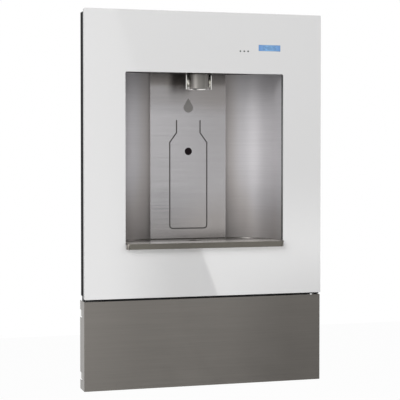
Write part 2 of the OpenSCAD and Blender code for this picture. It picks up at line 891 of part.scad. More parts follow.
// A water tube with its bore
module tube(points) {
    wall = 1;
    bend_share = 2.4;
    bend = bend_share * tube_d;
    run(points, tube_d, bend, tube_d - 2 * wall);
}

module valve_bracket() {
    t = 2;
    half = valve_w / 2 - 2 * t;
    color("gainsboro") {
        block([valve_x - half, nozzle_y - 3 * t, valve_low_z - t], [valve_x + half, box_in_y, valve_low_z]);
        block([valve_x - half, box_in_y - t, valve_low_z - t], [valve_x + half, box_in_y, valve_high_z]);
    }
}

module valve_body() {
    half = valve_w / 2;
    deep = 12;
    way_d = 4;
    seat_d = 3;
    bore_l = port_l - port_stop;
    color([0.85, 0.82, 0.75]) difference() {
        union() {
            block([valve_x - half, nozzle_y - deep, valve_low_z], [valve_x + half, nozzle_y + deep,
                valve_high_z]);
            rod_x(valve_x - half - port_l, valve_x + half + port_l, nozzle_y, port_z, port_d);
            rod_z(valve_x, nozzle_y, valve_high_z - cut, guide_top_z, guide_d);
        }
        rod_x(valve_x - half - port_l - cut, valve_x + half + port_l + cut, nozzle_y, port_z, way_d);
        for (s = [-1, 1]) translate([valve_x + s * (half + port_l), nozzle_y, port_z])
            rotate([0, -90 * s, 0]) translate([0, 0, -cut])
            cylinder(h = bore_l + clear + cut, d = tube_d + 2 * fit);
        rod_z(valve_x, nozzle_y, port_z, plunger_low_z + clear, seat_d);
        rod_z(valve_x, nozzle_y, plunger_low_z, chamber_top_z, chamber_d);
    }
}

module valve_coil() {
    side = 32;
    can_h = guide_top_z - valve_high_z - 2 * clear - guide_cap;
    r = 4;
    color([0.15, 0.15, 0.17]) difference() {
        union() {
            translate([valve_x - side / 2, nozzle_y - side / 2, valve_high_z])
                linear_extrude(can_h) round_rect(side, side, r);
            block([valve_x - side / 2 - r, nozzle_y - 2 * r, valve_lead_z - r],
                [valve_x, nozzle_y + 2 * r, valve_high_z + can_h]);
        }
        rod_z(valve_x, nozzle_y, valve_high_z - cut, guide_top_z, guide_d + 2 * fit);
    }
}

module valve_plunger() {
    slot = 1;
    color("darkgray") difference() {
        rod_z(valve_x, nozzle_y, plunger_low_z, plunger_low_z + plunger_l, chamber_d - 2 * fit);
        block([valve_x - chamber_d, nozzle_y - slot, plunger_low_z + slot],
            [valve_x - chamber_d / 2 + slot, nozzle_y + slot, plunger_low_z + plunger_l + cut]);
    }
}

module valve_spring() {
    wire = 0.7;
    turns = 7;
    color("silver") spring(valve_x, nozzle_y, plunger_low_z + plunger_l, chamber_top_z,
        chamber_d - 4 * wire, wire, turns);
}

module shutoff_body() {
    front = 12;
    neck_l = 6;
    neck = 20;
    way_d = 4;
    color([0.8, 0.68, 0.35]) difference() {
        union() {
            rod_y(stop_x, front, stop_port_y + stop_wide, stop_z, stop_wide);
            rod_y(stop_x, front - neck_l, front, stop_z, neck);
            rod_y(stop_x, stop_port_y + stop_wide, inlet_end_y, stop_z, inlet_d);
            rod_z(stop_x, stop_port_y, stop_z - stop_wide, stop_z, port_d);
        }
        rod_y(stop_x, stop_port_y, inlet_end_y + cut, stop_z, port_d / 2);
        translate([stop_x, stop_port_y, stop_z]) sphere(d = stop_ball_d + 2 * clear);
        rod_z(stop_x, stop_port_y, stop_z - stop_wide - cut, stop_z, way_d);
        rod_z(stop_x, stop_port_y, stop_z - stop_wide - cut, stop_z - stop_wide + port_l,
            tube_d + 2 * fit);
        rod_y(stop_x, front - neck_l - cut, stop_port_y, stop_z, stem_d + 2 * fit);
    }
}

module shutoff_handle() {
    way_d = 6;
    tip_share = 0.4;
    low_y = -2;
    hub_y = 4;
    hub_d = 18;
    lever_w = 10;
    lever_l = 24;
    color("silver") difference() {
        union() {
            rod_y(stop_x, hub_y, stop_port_y, stop_z, stem_d);
            translate([stop_x, stop_port_y, stop_z]) sphere(d = stop_ball_d);
        }
        rod_y(stop_x, stop_port_y, stop_port_y + stop_ball_d, stop_z, way_d);
        rod_z(stop_x, stop_port_y, stop_z - stop_ball_d, stop_z, way_d);
    }
    color([0.1, 0.25, 0.6]) {
        rod_y(stop_x, low_y, hub_y, stop_z, hub_d);
        translate([stop_x - lever_w / 2, hub_y, stop_z]) rotate([90, 0, 0])
            linear_extrude((hub_y - low_y) / 2)
            round_rect(lever_w, lever_l, tip_share * lever_w);
    }
}

module filter_bracket() {
    t = 1.7;
    low = filter_z - head_d / 2;
    high = filter_z + head_d / 2;
    front = filter_y + head_lug_y;
    mid = head_x + head_l / 2;
    color("gainsboro") {
        block([mid - head_lug_half, front, low + t], [mid + head_lug_half, front + t, high - t]);
        for (x = [mid - head_lug_half, mid + head_lug_half - t])
            block([x, front, low + t], [x + t, box_in_y, high - t]);
        for (s = [-1, 1]) block([mid + s * head_lug_half - 3 * t - s * t, box_in_y - t, low + t],
            [mid + s * head_lug_half + 3 * t - s * t, box_in_y, high - t]);
    }
}

module filter_head() {
    mid = head_x + head_l / 2;
    lug_up = 16;
    cap = 16;
    way_d = 4;
    bore_l = 9;
    color([0.2, 0.3, 0.5]) difference() {
        union() {
            rod_x(head_x, head_x + head_l, filter_y, filter_z, head_d);
            block([mid - head_lug_half, filter_y, filter_z - lug_up],
                [mid + head_lug_half, filter_y + head_lug_y, filter_z + lug_up]);
            for (s = [-1, 1]) rod_x(head_x + head_l - cut, head_x + head_l + port_l / 2,
                nozzle_y, filter_z + s * port_off, port_d);
        }
        rod_x(head_x - cut, head_x + head_l - cap, filter_y, filter_z, head_bore_d);
        rod_x(head_x + bayonet_x, head_x + bayonet_x + bayonet_w + 2 * clear, filter_y, filter_z,
            bayonet_d + 4 * clear);
        for (a = [0, 180]) translate([head_x - cut, filter_y, filter_z]) rotate([a, 0, 0])
            translate([0, -bayonet_w, 0])
            cube([bayonet_x + 2 * cut, 2 * bayonet_w, bayonet_d / 2 + 2 * clear]);
        for (s = [-1, 1]) {
            rod_x(head_x + head_l - cap - cut, head_x + head_l + port_l, nozzle_y,
                filter_z + s * port_off, way_d);
            rod_x(head_x + head_l + port_l / 2 - bore_l, head_x + head_l + port_l, nozzle_y,
                filter_z + s * port_off, tube_d + 2 * fit);
        }
    }
}

module filter_cartridge() {
    key_share = 1.6;
    end = head_x - filter_end_gap;
    groove = seal_t / 2;
    soft = 8;
    ribs = 16;
    rib_d = 5;
    grip_l = 26;
    color("white") difference() {
        union() {
            translate([end, filter_y, filter_z]) rotate([0, -90, 0]) rotate_extrude() {
                square([filter_d / 2, filter_l - soft]);
                square([filter_d / 2 - soft, filter_l]);
                intersection() {
                    translate([filter_d / 2 - soft, filter_l - soft]) circle(r = soft);
                    square([filter_d, filter_l]);
                }
            }
            rod_x(end - cut, end + neck_l, filter_y, filter_z, neck_d);
            translate([head_x + bayonet_x + clear, filter_y, filter_z]) rotate([90, 0, 90])
                linear_extrude(bayonet_w) intersection() {
                    circle(d = bayonet_d);
                    square([bayonet_d + cut, key_share * bayonet_w], center = true);
                }
        }
        for (i = [0 : ribs - 1]) translate([end - filter_l - cut, filter_y, filter_z])
            rotate([360 * i / ribs, 0, 0]) translate([0, 0, filter_d / 2])
            rotate([0, 90, 0]) cylinder(h = grip_l + cut, d = rib_d);
        for (x = seal_xs) translate([x, filter_y, filter_z]) rotate([0, 90, 0]) rotate_extrude()
            translate([neck_d / 2, 0]) circle(d = seal_t, $fn = 24);
    }
}

module filter_o_rings() {
    color("black") for (x = seal_xs) translate([x, filter_y, filter_z]) rotate([0, 90, 0])
        rotate_extrude() translate([neck_d / 2, 0]) circle(d = seal_t - 2 * fit, $fn = 24);
}

module supply_tube() {
    up = 12;
    low_z = box_low_z + box_t + up;
    side_x = riser_x - tube_d;
    color([0.2, 0.45, 0.8]) tube([[stop_x, stop_port_y, stop_z - stop_wide + port_l],
        [stop_x, stop_port_y, low_z], [side_x, stop_port_y, low_z], [side_x, nozzle_y, low_z],
        [side_x, nozzle_y, filter_z - port_off],
        [head_x + head_l - port_l / 3, nozzle_y, filter_z - port_off]]);
}

module filtered_tube() {
    color([0.85, 0.9, 0.95]) tube([[valve_x + valve_w / 2 + port_stop, nozzle_y, port_z],
        [riser_x, nozzle_y, port_z], [riser_x, nozzle_y, filter_z + port_off],
        [head_x + head_l - port_l / 3, nozzle_y, filter_z + port_off]]);
}

module drain_strainer() {
    hole_d = 2.6;
    knob_d = 4;
    ring_share = 1.55;
    turn = 30;
    plate_d = drain_d - 4 * clear;
    low = basin_z - strainer_sink;
    color("silver") {
        difference() {
            rod_z(0, drain_y, low, low + strainer_t, plate_d);
            for (k = [1, 2], i = [0 : 6 * k - 1]) translate([0, drain_y, 0]) rotate(60 * i / k + turn)
                rod_z(k * ring_share * hole_d, 0, low - cut, low + strainer_t + cut, hole_d);
        }
        rod_z(0, drain_y, low + strainer_t, low + 2 * strainer_t, knob_d);
    }
}

module drain_body() {
    throat_d = 19;
    shelf = basin_z - strainer_sink;
    color("silver") difference() {
        union() {
            rod_z(0, drain_y, drain_seat_z, drain_seat_z + drain_flange_t, drain_flange_d);
            rod_z(0, drain_y, socket_low_z, drain_seat_z, drain_thread_d);
        }
        rod_z(0, drain_y, shelf, drain_top_z, drain_d + fit);
        rod_z(0, drain_y, socket_low_z - cut, drain_top_z, throat_d);
        rod_z(0, drain_y, socket_low_z - cut, socket_top_z, tail_pipe_d + 2 * fit);
    }
}

module drain_gasket() {
    color([0.1, 0.1, 0.1]) difference() {
        rod_z(0, drain_y, drain_top_z - drain_gasket_t, drain_top_z, drain_flange_d);
        rod_z(0, drain_y, drain_top_z - 2 * cut - drain_gasket_t, drain_top_z + cut, drain_d + 2 * clear);
    }
}

module drain_tailpiece() {
    bend_share = 0.46;
    drop = 12;
    bend = bend_share * (tail_y - drain_y);
    turn_z = socket_low_z - bend - drop;
    points = [[0, drain_y, socket_top_z - clear], [0, drain_y, turn_z], [0, tail_y, turn_z],
        [0, tail_y, tail_end_z + spigot_l]];
    color([0.92, 0.92, 0.9]) {
        run(points, tail_pipe_d, bend, tail_pipe_d - 2 * tail_t);
        difference() {
            rod_z(0, tail_y, tail_end_z, tail_end_z + spigot_l, tail_d);
            rod_z(0, tail_y, tail_end_z - cut, tail_end_z + spigot_l + cut,
                tail_pipe_d - 2 * tail_t);
        }
    }
}

module drain_slip_nut() {
    under = 5;
    nut_h = 14;
    wall = 6;
    sides = 8;
    low = socket_low_z - under;
    color([0.9, 0.9, 0.88]) difference() {
        translate([0, drain_y, low]) cylinder(h = nut_h, d = drain_thread_d + 2 * wall, $fn = sides);
        rod_z(0, drain_y, socket_low_z - clear, low + nut_h + cut,
            drain_thread_d + 2 * fit);
        rod_z(0, drain_y, low - cut, socket_low_z, tail_pipe_d + 2 * fit);
    }
}

module power_box() {
    lock_gap = 2;
    ear = power_ear;
    color("silver") difference() {
        block([power_x, power_y, power_low_z], [power_x + power_w, box_in_y, power_low_z + power_h]);
        block([power_x + power_t, power_y - cut, power_low_z + power_t],
            [power_x + power_w - power_t, box_in_y - power_t, power_low_z + power_h - power_t]);
        rod_z(conduit_x, conduit_y, power_low_z + power_h - power_t - cut,
            power_low_z + power_h + cut, conduit_d + 2 * lock_gap);
        rod_z(valve_lead_x, conduit_y, power_low_z - cut, power_low_z + power_t + cut,
            lead_d + 2 * clear);
    }
    color("silver") for (s = [0, 1]) difference() {
        block([power_x + power_t + s * (power_w - 2 * power_t - ear), power_y, power_low_z + power_t],
            [power_x + power_t + ear + s * (power_w - 2 * power_t - ear), power_y + power_t,
            power_low_z + power_t + ear]);
        rod_y(power_x + power_t + ear / 2 + s * (power_w - 2 * power_t - ear), power_y - cut,
            power_y + power_t + cut, power_low_z + power_t + ear / 2, power_t);
    }
}

module power_cover() {
    ear = power_ear;
    screw_d = 2 * power_t;
    color("lightgray") difference() {
        block([power_x, power_y - power_t, power_low_z], [power_x + power_w, power_y,
            power_low_z + power_h]);
        for (s = [0, 1]) rod_y(power_x + power_t + ear / 2 + s * (power_w - 2 * power_t - ear),
            power_y - power_t - cut, power_y + cut, power_low_z + power_t + ear / 2, screw_d);
    }
}

module transformer() {
    core_w = 46;
    core_h = 34;
    core_d = 22;
    coil_grow = 6;
    ear_gap = 4;
    low = [power_x + power_w - power_t - core_w - ear_gap, box_in_y - power_t - core_d - coil_grow,
        power_low_z + power_t];
    color([0.25, 0.25, 0.28]) translate(low) cube([core_w, core_d, core_h]);
    color([0.75, 0.6, 0.2]) translate(low + [core_w / 4, core_d, coil_grow])
        cube([core_w / 2, coil_grow, core_h - 2 * coil_grow]);
    color([0.75, 0.6, 0.2]) translate(low + [core_w / 4, -coil_grow, coil_grow])
        cube([core_w / 2, coil_grow, core_h - 2 * coil_grow]);
}

module control_tray() {
    top = tray_low_z + tray_h;
    foot = 6;
    color([0.3, 0.31, 0.33]) difference() {
        block([tray_x, tray_y, tray_low_z + lid_t], [tray_x + tray_w, tray_y + tray_d, top]);
        difference() {
            block([tray_x + tray_t, tray_y + tray_t, tray_low_z], [tray_x + tray_w - tray_t,
                tray_y + tray_d - tray_t, top - tray_t]);
            for (x = [tray_x + tray_t, tray_x + tray_w - tray_t - foot],
                y = [tray_y + tray_t, tray_y + tray_d - tray_t - foot])
                block([x, y, tray_low_z + lid_t + board_gap + board_t], [x + foot, y + foot, top]);
        }
        rod_z(main_lead_x, nozzle_y, top - tray_t - cut, top + cut, main_lead_d + 2 * fit);
        rod_z(valve_lead_x, nozzle_y, top - tray_t - cut, top + cut, lead_d + 2 * fit);
        rod_z(sensor_lead_x, button_y, top - tray_t - cut, top + cut, lead_d + 2 * fit);
        rod_y(valve_lead_x, tray_y + tray_d - tray_t - cut, tray_y + tray_d + cut,
            power_lead_z, lead_d + 2 * fit);
    }
}

module control_board() {
    low = tray_low_z + lid_t + board_gap;
    chip_shares = [[0.1, 0.16, 0.12, 0.2, 0.08], [0.28, 0.4, 0.15, 0.36, 0.06],
        [0.52, 0.2, 0.08, 0.48, 0.17], [0.7, 0.12, 0.13, 0.28, 0.13]];
    switch_w = 2;
    color([0.05, 0.35, 0.15]) block([tray_x + tray_t + clear, tray_y + tray_t + clear, low],
        [tray_x + tray_w - tray_t - clear, tray_y + tray_d - tray_t - clear, low + board_t]);
    color([0.1, 0.1, 0.1]) for (c = chip_shares)
        translate([tray_x + c[0] * tray_w, tray_y + c[1] * tray_d, low + board_t])
            cube([c[2] * tray_w, c[3] * tray_d, c[4] * tray_h]);
    color("gray") translate([button_x, button_y, low - board_t / 2])
        cube([switch_w, switch_w, board_t], center = true);
}

module control_lid() {
    color([0.3, 0.31, 0.33]) difference() {
        block([tray_x, tray_y, tray_low_z], [tray_x + tray_w, tray_y + tray_d, tray_low_z + lid_t]);
        rod_z(button_x, button_y, tray_low_z - cut, tray_low_z + lid_t + cut, button_d + 2 * fit);
    }
}

module reset_button() {
    collar = 3;
    color("crimson") {
        rod_z(button_x, button_y, tray_low_z - 2 * button_travel, tray_low_z + lid_t, button_d);
        rod_z(button_x, button_y, tray_low_z + lid_t, tray_low_z + lid_t + collar_t,
            button_d + collar);
    }
}

module button_spring() {
    wire = 0.5;
    turns = 4;
    color("silver") spring(button_x, button_y, tray_low_z + lid_t + collar_t,
        tray_low_z + lid_t + board_gap, button_d, wire, turns);
}

module harness() {
    bend = 10;
    under = 20;
    top = tray_low_z + tray_h;
    entry_y = display_board_y - board_t - 2 * carrier_t;
    entry_z = carrier_low_z + carrier_h / 2;
    drop_y = box_in_y - lead_d / 2 - 2 * clear;
    cross_z = drain_seat_z - under;
    color([0.15, 0.15, 0.15]) {
        run([[main_lead_x, nozzle_y, top - tray_t], [main_lead_x, nozzle_y, entry_z],
            [main_lead_x, entry_y, entry_z], [carrier_x + carrier_t, entry_y, entry_z]],
            main_lead_d, bend);
        run([[valve_lead_x, nozzle_y, top - tray_t], [valve_lead_x, nozzle_y, valve_lead_z],
            [valve_x - valve_w / 2, nozzle_y, valve_lead_z]], lead_d, bend);
        run([[valve_lead_x, conduit_y, power_low_z + power_t], [valve_lead_x, conduit_y, power_lead_z],
            [valve_lead_x, tray_y + tray_d - tray_t, power_lead_z]], lead_d, bend);
        run([[0, sensor_back_y, eye_up_z], [0, drop_y, eye_up_z], [0, drop_y, cross_z],
            [sensor_lead_x, drop_y, cross_z], [sensor_lead_x, button_y, cross_z],
            [sensor_lead_x, button_y, top - tray_t]], lead_d, drop_y - sensor_back_y - clear);
    }
}

module door_pan() {
    room = 1;
    notch_h = eye_h + 2 * room;
    notch_y = hinge_y - eye_r - room;
    half = face_w / 2;
    color([0.5, 0.48, 0.45]) difference() {
        block([-half, door_y, door_low_z], [half, door_back_y, door_top_z]);
        block([-half + sheet_t, door_y + sheet_t, door_low_z + sheet_t],
            [half - sheet_t, door_back_y + cut, door_top_z + cut]);
        for (z = hinge_zs) block([-half - cut, notch_y, z - notch_h / 2],
            [-half + sheet_t + cut, door_back_y + cut, z + notch_h / 2]);
    }
}

module door_stiffener() {
    lip = 10;
    rise = stiffener_rise;
    wide = 26;
    half = face_w / 2 - 4 * lip;
    y = door_y + sheet_t;
    z = door_mid_z;
    apart = door_h - 2 * wide;
    color("gainsboro") for (s = [-1, 1]) translate([0, 0, s * apart / 2]) difference() {
        block([-half, y, z - wide / 2], [half, y + rise, z + wide / 2]);
        block([-half - cut, y - cut, z - wide / 2 + sheet_t + lip / 2],
            [half + cut, y + rise - sheet_t, z + wide / 2 - sheet_t - lip / 2]);
        for (q = [-1, 1]) block([-half - cut, y + sheet_t, z + q * (wide / 2 - lip / 4) - lip / 4],
            [half + cut, y + rise + cut, z + q * (wide / 2 - lip / 4) + lip / 4]);
    }
}

module hinge_ears() {
    ear_w = 10;
    ear_d = 14;
    half = face_w / 2;
    color("silver") for (z = hinge_zs, s = [-1, 1]) {
        low = z + s * (eye_h / 2 + clear + ear_t / 2) - ear_t / 2;
        difference() {
            block([-half + sheet_t, hinge_y - ear_d / 2, low],
                [-half + sheet_t + ear_w, hinge_y + ear_d / 4, low + ear_t]);
            rod_z(hinge_x, hinge_y, low - cut, low + ear_t + cut, pin_d + 2 * fit);
        }
    }
}

module hinge_brackets() {
    base_w = 30;
    base_t = 2;
    color([0.8, 0.8, 0.8]) for (z = hinge_zs) difference() {
        union() {
            block([hinge_x - eye_r, -box_t - base_t, z - eye_h / 2],
                [hinge_x - eye_r + base_w, -box_t, z + eye_h / 2]);
            block([hinge_x - eye_r, hinge_y, z - eye_h / 2],
                [hinge_x + eye_r, -box_t, z + eye_h / 2]);
            rod_z(hinge_x, hinge_y, z - eye_h / 2, z + eye_h / 2, 2 * eye_r);
        }
        rod_z(hinge_x, hinge_y, z - eye_h, z + eye_h, pin_d);
    }
}

module hinge_pins() {
    over = 1.5;
    color("silver") for (z = hinge_zs)
        rod_z(hinge_x, hinge_y, z - eye_h / 2 - clear - ear_t - over,
            z + eye_h / 2 + clear + ear_t + over, pin_d);
}

module magnet_catches() {
    lip = 3;
    right = face_w / 2 - 3 * sheet_t - catch_w;
    color([0.15, 0.15, 0.15]) for (z = hinge_zs) {
        block([right, catch_y, z - catch_h / 4], [right + catch_w, -box_t, z + catch_h / 4]);
        block([right - lip, -box_t - lip, z - catch_h / 2], [right + catch_w - lip, -box_t,
            z + catch_h / 2]);
    }
}

module strike_plates() {
    right = face_w / 2 - sheet_t;
    back = catch_y - clear;
    color("silver") for (z = hinge_zs) {
        block([right - catch_w - sheet_t, back - strike_t, z - catch_h / 4], [right, back,
            z + catch_h / 4]);
        block([right - strike_t, back - catch_w, z - catch_h / 4], [right, back, z + catch_h / 4]);
    }
}

wall_box();
wall_box_grommets();
face_frame();
frame_screws();
glass_pads();
glass_panel();
display_window();
status_lenses();
display_carrier();
display_board();
display_module();
window_gasket();
alcove_liner();
alcove_ceiling();
alcove_column();
column_nuts();
sensor_lens();
sensor_body();
sensor_nut();
sill_tray();
nozzle_body();
nozzle_aerator();
nozzle_guard();
nozzle_nut();
outlet_elbow();
outlet_tube();
valve_bracket();
valve_body();
valve_coil();
valve_plunger();
valve_spring();
shutoff_body();
shutoff_handle();
filter_bracket();
filter_head();
filter_cartridge();
filter_o_rings();
supply_tube();
filtered_tube();
drain_strainer();
drain_body();
drain_gasket();
drain_tailpiece();
drain_slip_nut();
power_box();
power_cover();
transformer();
control_tray();
control_board();
control_lid();
reset_button();
button_spring();
harness();
door_pan();
door_stiffener();
hinge_ears();
hinge_brackets();
hinge_pins();
magnet_catches();
strike_plates();
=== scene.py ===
"""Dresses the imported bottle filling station: finishes for its CAD nodes, small pieces that ride
on them, and the plain studio that they are seen in."""

import math

import bmesh
import bpy
from mathutils import Matrix, Vector


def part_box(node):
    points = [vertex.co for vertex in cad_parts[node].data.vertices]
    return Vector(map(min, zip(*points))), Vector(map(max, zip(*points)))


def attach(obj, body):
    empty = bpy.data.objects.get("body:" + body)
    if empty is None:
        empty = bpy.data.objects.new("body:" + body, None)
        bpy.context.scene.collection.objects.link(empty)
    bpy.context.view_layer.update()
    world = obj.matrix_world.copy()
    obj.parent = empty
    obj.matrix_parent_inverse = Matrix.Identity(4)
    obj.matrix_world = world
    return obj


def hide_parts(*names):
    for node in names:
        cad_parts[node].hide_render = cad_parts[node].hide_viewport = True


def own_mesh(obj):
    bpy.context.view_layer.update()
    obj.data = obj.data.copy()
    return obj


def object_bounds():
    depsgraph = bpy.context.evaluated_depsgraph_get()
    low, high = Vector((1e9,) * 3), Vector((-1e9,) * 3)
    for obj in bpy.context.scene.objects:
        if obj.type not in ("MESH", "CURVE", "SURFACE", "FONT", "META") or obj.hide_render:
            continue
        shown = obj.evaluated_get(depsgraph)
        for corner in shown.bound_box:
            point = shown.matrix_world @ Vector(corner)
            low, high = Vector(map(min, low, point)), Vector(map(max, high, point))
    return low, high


bl_info = {
    "name": "Bottle Filling Station",
    "version": (1, 0, 0),
    "blender": (4, 5, 0),
    "location": "View3D > Sidebar > Filling Station",
    "description": "Finishes, small pieces and studio for a wall bottle filling station",
    "category": "Object",
}

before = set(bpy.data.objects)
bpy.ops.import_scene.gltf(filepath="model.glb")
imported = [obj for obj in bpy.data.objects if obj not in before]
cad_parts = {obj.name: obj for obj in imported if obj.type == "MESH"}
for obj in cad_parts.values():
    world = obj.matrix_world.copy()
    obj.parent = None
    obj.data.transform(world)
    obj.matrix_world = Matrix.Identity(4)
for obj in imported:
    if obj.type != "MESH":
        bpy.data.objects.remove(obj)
CAD_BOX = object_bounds()

# An edge counts as sharp where its faces turn by more than this, on the pieces made here
SHARP_ANGLE = math.radians(35)

# The same for CAD nodes
CORNER_ANGLE = math.radians(42)

# Corners of CAD nodes that lie nearer than this are one point, in metres
SAME_POINT = 0.00002

# Widths of the rounded edges, in metres
THIN_EDGE = 0.0003
SHEET_EDGE = 0.0004
MOULDED_EDGE = 0.0006
SILL_EDGE = 0.0007
THICK_EDGE = 0.0008

# The plain number that the display shows
NUMERALS = "04826"

# Steel's tint where painted shade darkens it, as a share of red, green and blue: a painted
# reflection of a warm room
PAINTED_SHADE_WARMTH = (1.02, 0.975, 0.925)


class Signal:
    """A number, colour or vector on its way through a node tree. Signs add Math nodes."""

    def __init__(self, nodes, socket):
        self.nodes = nodes
        self.socket = socket

    def _math(self, operation, first, second):
        return self.nodes.node("ShaderNodeMath", {"operation": operation}, {0: first, 1: second})

    def __add__(self, other):
        return self._math("ADD", self, other)

    def __radd__(self, other):
        return self._math("ADD", other, self)

    def __sub__(self, other):
        return self._math("SUBTRACT", self, other)

    def __rsub__(self, other):
        return self._math("SUBTRACT", other, self)

    def __mul__(self, other):
        return self._math("MULTIPLY", self, other)

    def __rmul__(self, other):
        return self._math("MULTIPLY", other, self)

    def __neg__(self):
        return self._math("MULTIPLY", self, -1.0)

    def __abs__(self):
        return self.nodes.node("ShaderNodeMath", {"operation": "ABSOLUTE"}, {0: self})

    def most(self, other):
        """The larger of two numbers."""
        return self._math("MAXIMUM", self, other)

    def ramp(self, low, high):
        """0 below low, 1 above high, smooth in between."""
        return self.nodes.node(
            "ShaderNodeMapRange",
            {"interpolation_type": "SMOOTHSTEP"},
            {"Value": self, "From Min": low, "From Max": high},
        )


class Nodes:
    """A node tree, of a finish or of the surroundings."""

    def __init__(self, tree):
        self.tree = tree

    def node(self, kind, settings=None, values=None, output=0):
        """Adds a node: settings first, then the values or links of its sockets."""
        made = self.tree.nodes.new(kind)
        for key, value in (settings or {}).items():
            if key == "stops":
                ramp = made.color_ramp
                while len(ramp.elements) < len(value):
                    ramp.elements.new(0.5)
                for element, (at, colour) in zip(ramp.elements, value):
                    element.position = at
                    element.color = (*colour, 1.0)
            else:
                setattr(made, key, value)
        for key, value in (values or {}).items():
            self._feed(made.inputs[key], value)
        return Signal(self, made.outputs[output])

    def _feed(self, socket, value):
        if isinstance(value, Signal):
            self.tree.links.new(value.socket, socket)
        elif hasattr(value, "__len__") and len(value) == 3 and len(socket.default_value) == 4:
            socket.default_value = (*value, 1.0)
        else:
            socket.default_value = value

    def parts(self, vector):
        """The three numbers of a vector."""
        split = self.node("ShaderNodeSeparateXYZ", values={0: vector})
        return [Signal(self, out) for out in split.socket.node.outputs]

    def ray(self, kind):
        """1 for rays of this kind."""
        return self.node("ShaderNodeLightPath", output=f"Is {kind} Ray")

    def seen(self):
        """1 for rays that come straight from the camera, from a mirror or through glass."""
        return self.ray("Camera").most(self.ray("Glossy")).most(self.ray("Transmission"))


class Finish(Nodes):
    """One procedural material. Its pattern lies in the row frame, in metres."""

    def __init__(self, name, **constants):
        self.material = bpy.data.materials.new(name)
        self.material.use_nodes = True
        super().__init__(self.material.node_tree)
        self.tree.nodes.clear()
        self.shader = self.tree.nodes.new("ShaderNodeBsdfPrincipled")
        self.end = self.tree.nodes.new("ShaderNodeOutputMaterial")
        self.tree.links.new(self.shader.outputs[0], self.end.inputs["Surface"])
        self.set(**constants)

    def set(self, **values):
        """Values or links of the shader, named with _ for each space."""
        for key, value in values.items():
            label = key.replace("_", " ").title().replace("Ior", "IOR")
            self._feed(self.shader.inputs[label], value)

    def shine(self, strength):
        """Gives off light of this strength, in place of the shader."""
        self.tree.nodes.remove(self.shader)
        glow = self.node("ShaderNodeEmission", values={"Strength": strength})
        self.tree.links.new(glow.socket, self.end.inputs["Surface"])

    def place(self):
        """The point in the row frame, in metres."""
        return self.node("ShaderNodeTexCoord", output="Object")

    def stretched(self, vector, factors):
        """A vector with each of its numbers times its factor."""
        return self.node("ShaderNodeVectorMath", {"operation": "MULTIPLY"}, {0: vector, 1: factors})

    def cloud(self, vector, scale, detail=2.0, distortion=0.0):
        """Noise from 0 to 1, about `scale` lumps to the metre."""
        return self.node(
            "ShaderNodeTexNoise",
            values={"Vector": vector, "Scale": scale, "Detail": detail, "Distortion": distortion},
        )

    def facing(self):
        """The surface's normal, as three numbers."""
        return self.parts(self.node("ShaderNodeNewGeometry", output="Normal"))

    def mix(self, mask, first, second):
        """The first colour where mask is 0, the second where it is 1."""
        return self.node(
            "ShaderNodeMix", {"data_type": "RGBA"}, {0: mask, 6: first, 7: second}, output=2
        )

    def shade(self, colour, amount):
        """A colour made lighter or darker by a number about 1."""
        grey = self.node("ShaderNodeCombineXYZ", values={0: amount, 1: amount, 2: amount})
        return self.node(
            "ShaderNodeVectorMath", {"operation": "MULTIPLY"}, {0: colour, 1: grey}
        )

    def relief(self, height, depth, strength=1.0):
        """Normals from a height of 0 to 1 that stands for `depth` metres."""
        self.set(
            normal=self.node(
                "ShaderNodeBump",
                values={"Height": height, "Distance": depth, "Strength": strength},
                output="Normal",
            )
        )


def white_glass():
    """Back-painted white glass with a polished, slightly green edge, painted near black as a
    painted reflection of the dark back seen through the glass.
    """
    finish = Finish("white_glass", specular_ior_level=0.80, coat_weight=1.0, coat_roughness=0.02)
    place = finish.place()
    _, across, _ = finish.facing()
    waves = finish.cloud(place, 5.0, 2.0)
    specks = finish.cloud(place, 420.0, 2.0)
    white = finish.mix(waves, look().glass_white, [c * 1.03 for c in look().glass_white])
    # The edge's near-black is a painted reflection of the dark back seen through the glass
    edge = finish.mix(specks, (0.030, 0.040, 0.037), (0.055, 0.068, 0.064))
    face = finish.mix(abs(across).ramp(0.55, 0.85), edge, white)
    back = finish.mix(across.ramp(0.6, 0.9), face, (0.46, 0.46, 0.45))
    finish.set(base_color=back, roughness=0.03 + 0.03 * finish.cloud(place, 30.0, 3.0))
    finish.relief(finish.cloud(place, 12.0, 1.0), 0.00006, 0.30)
    return finish


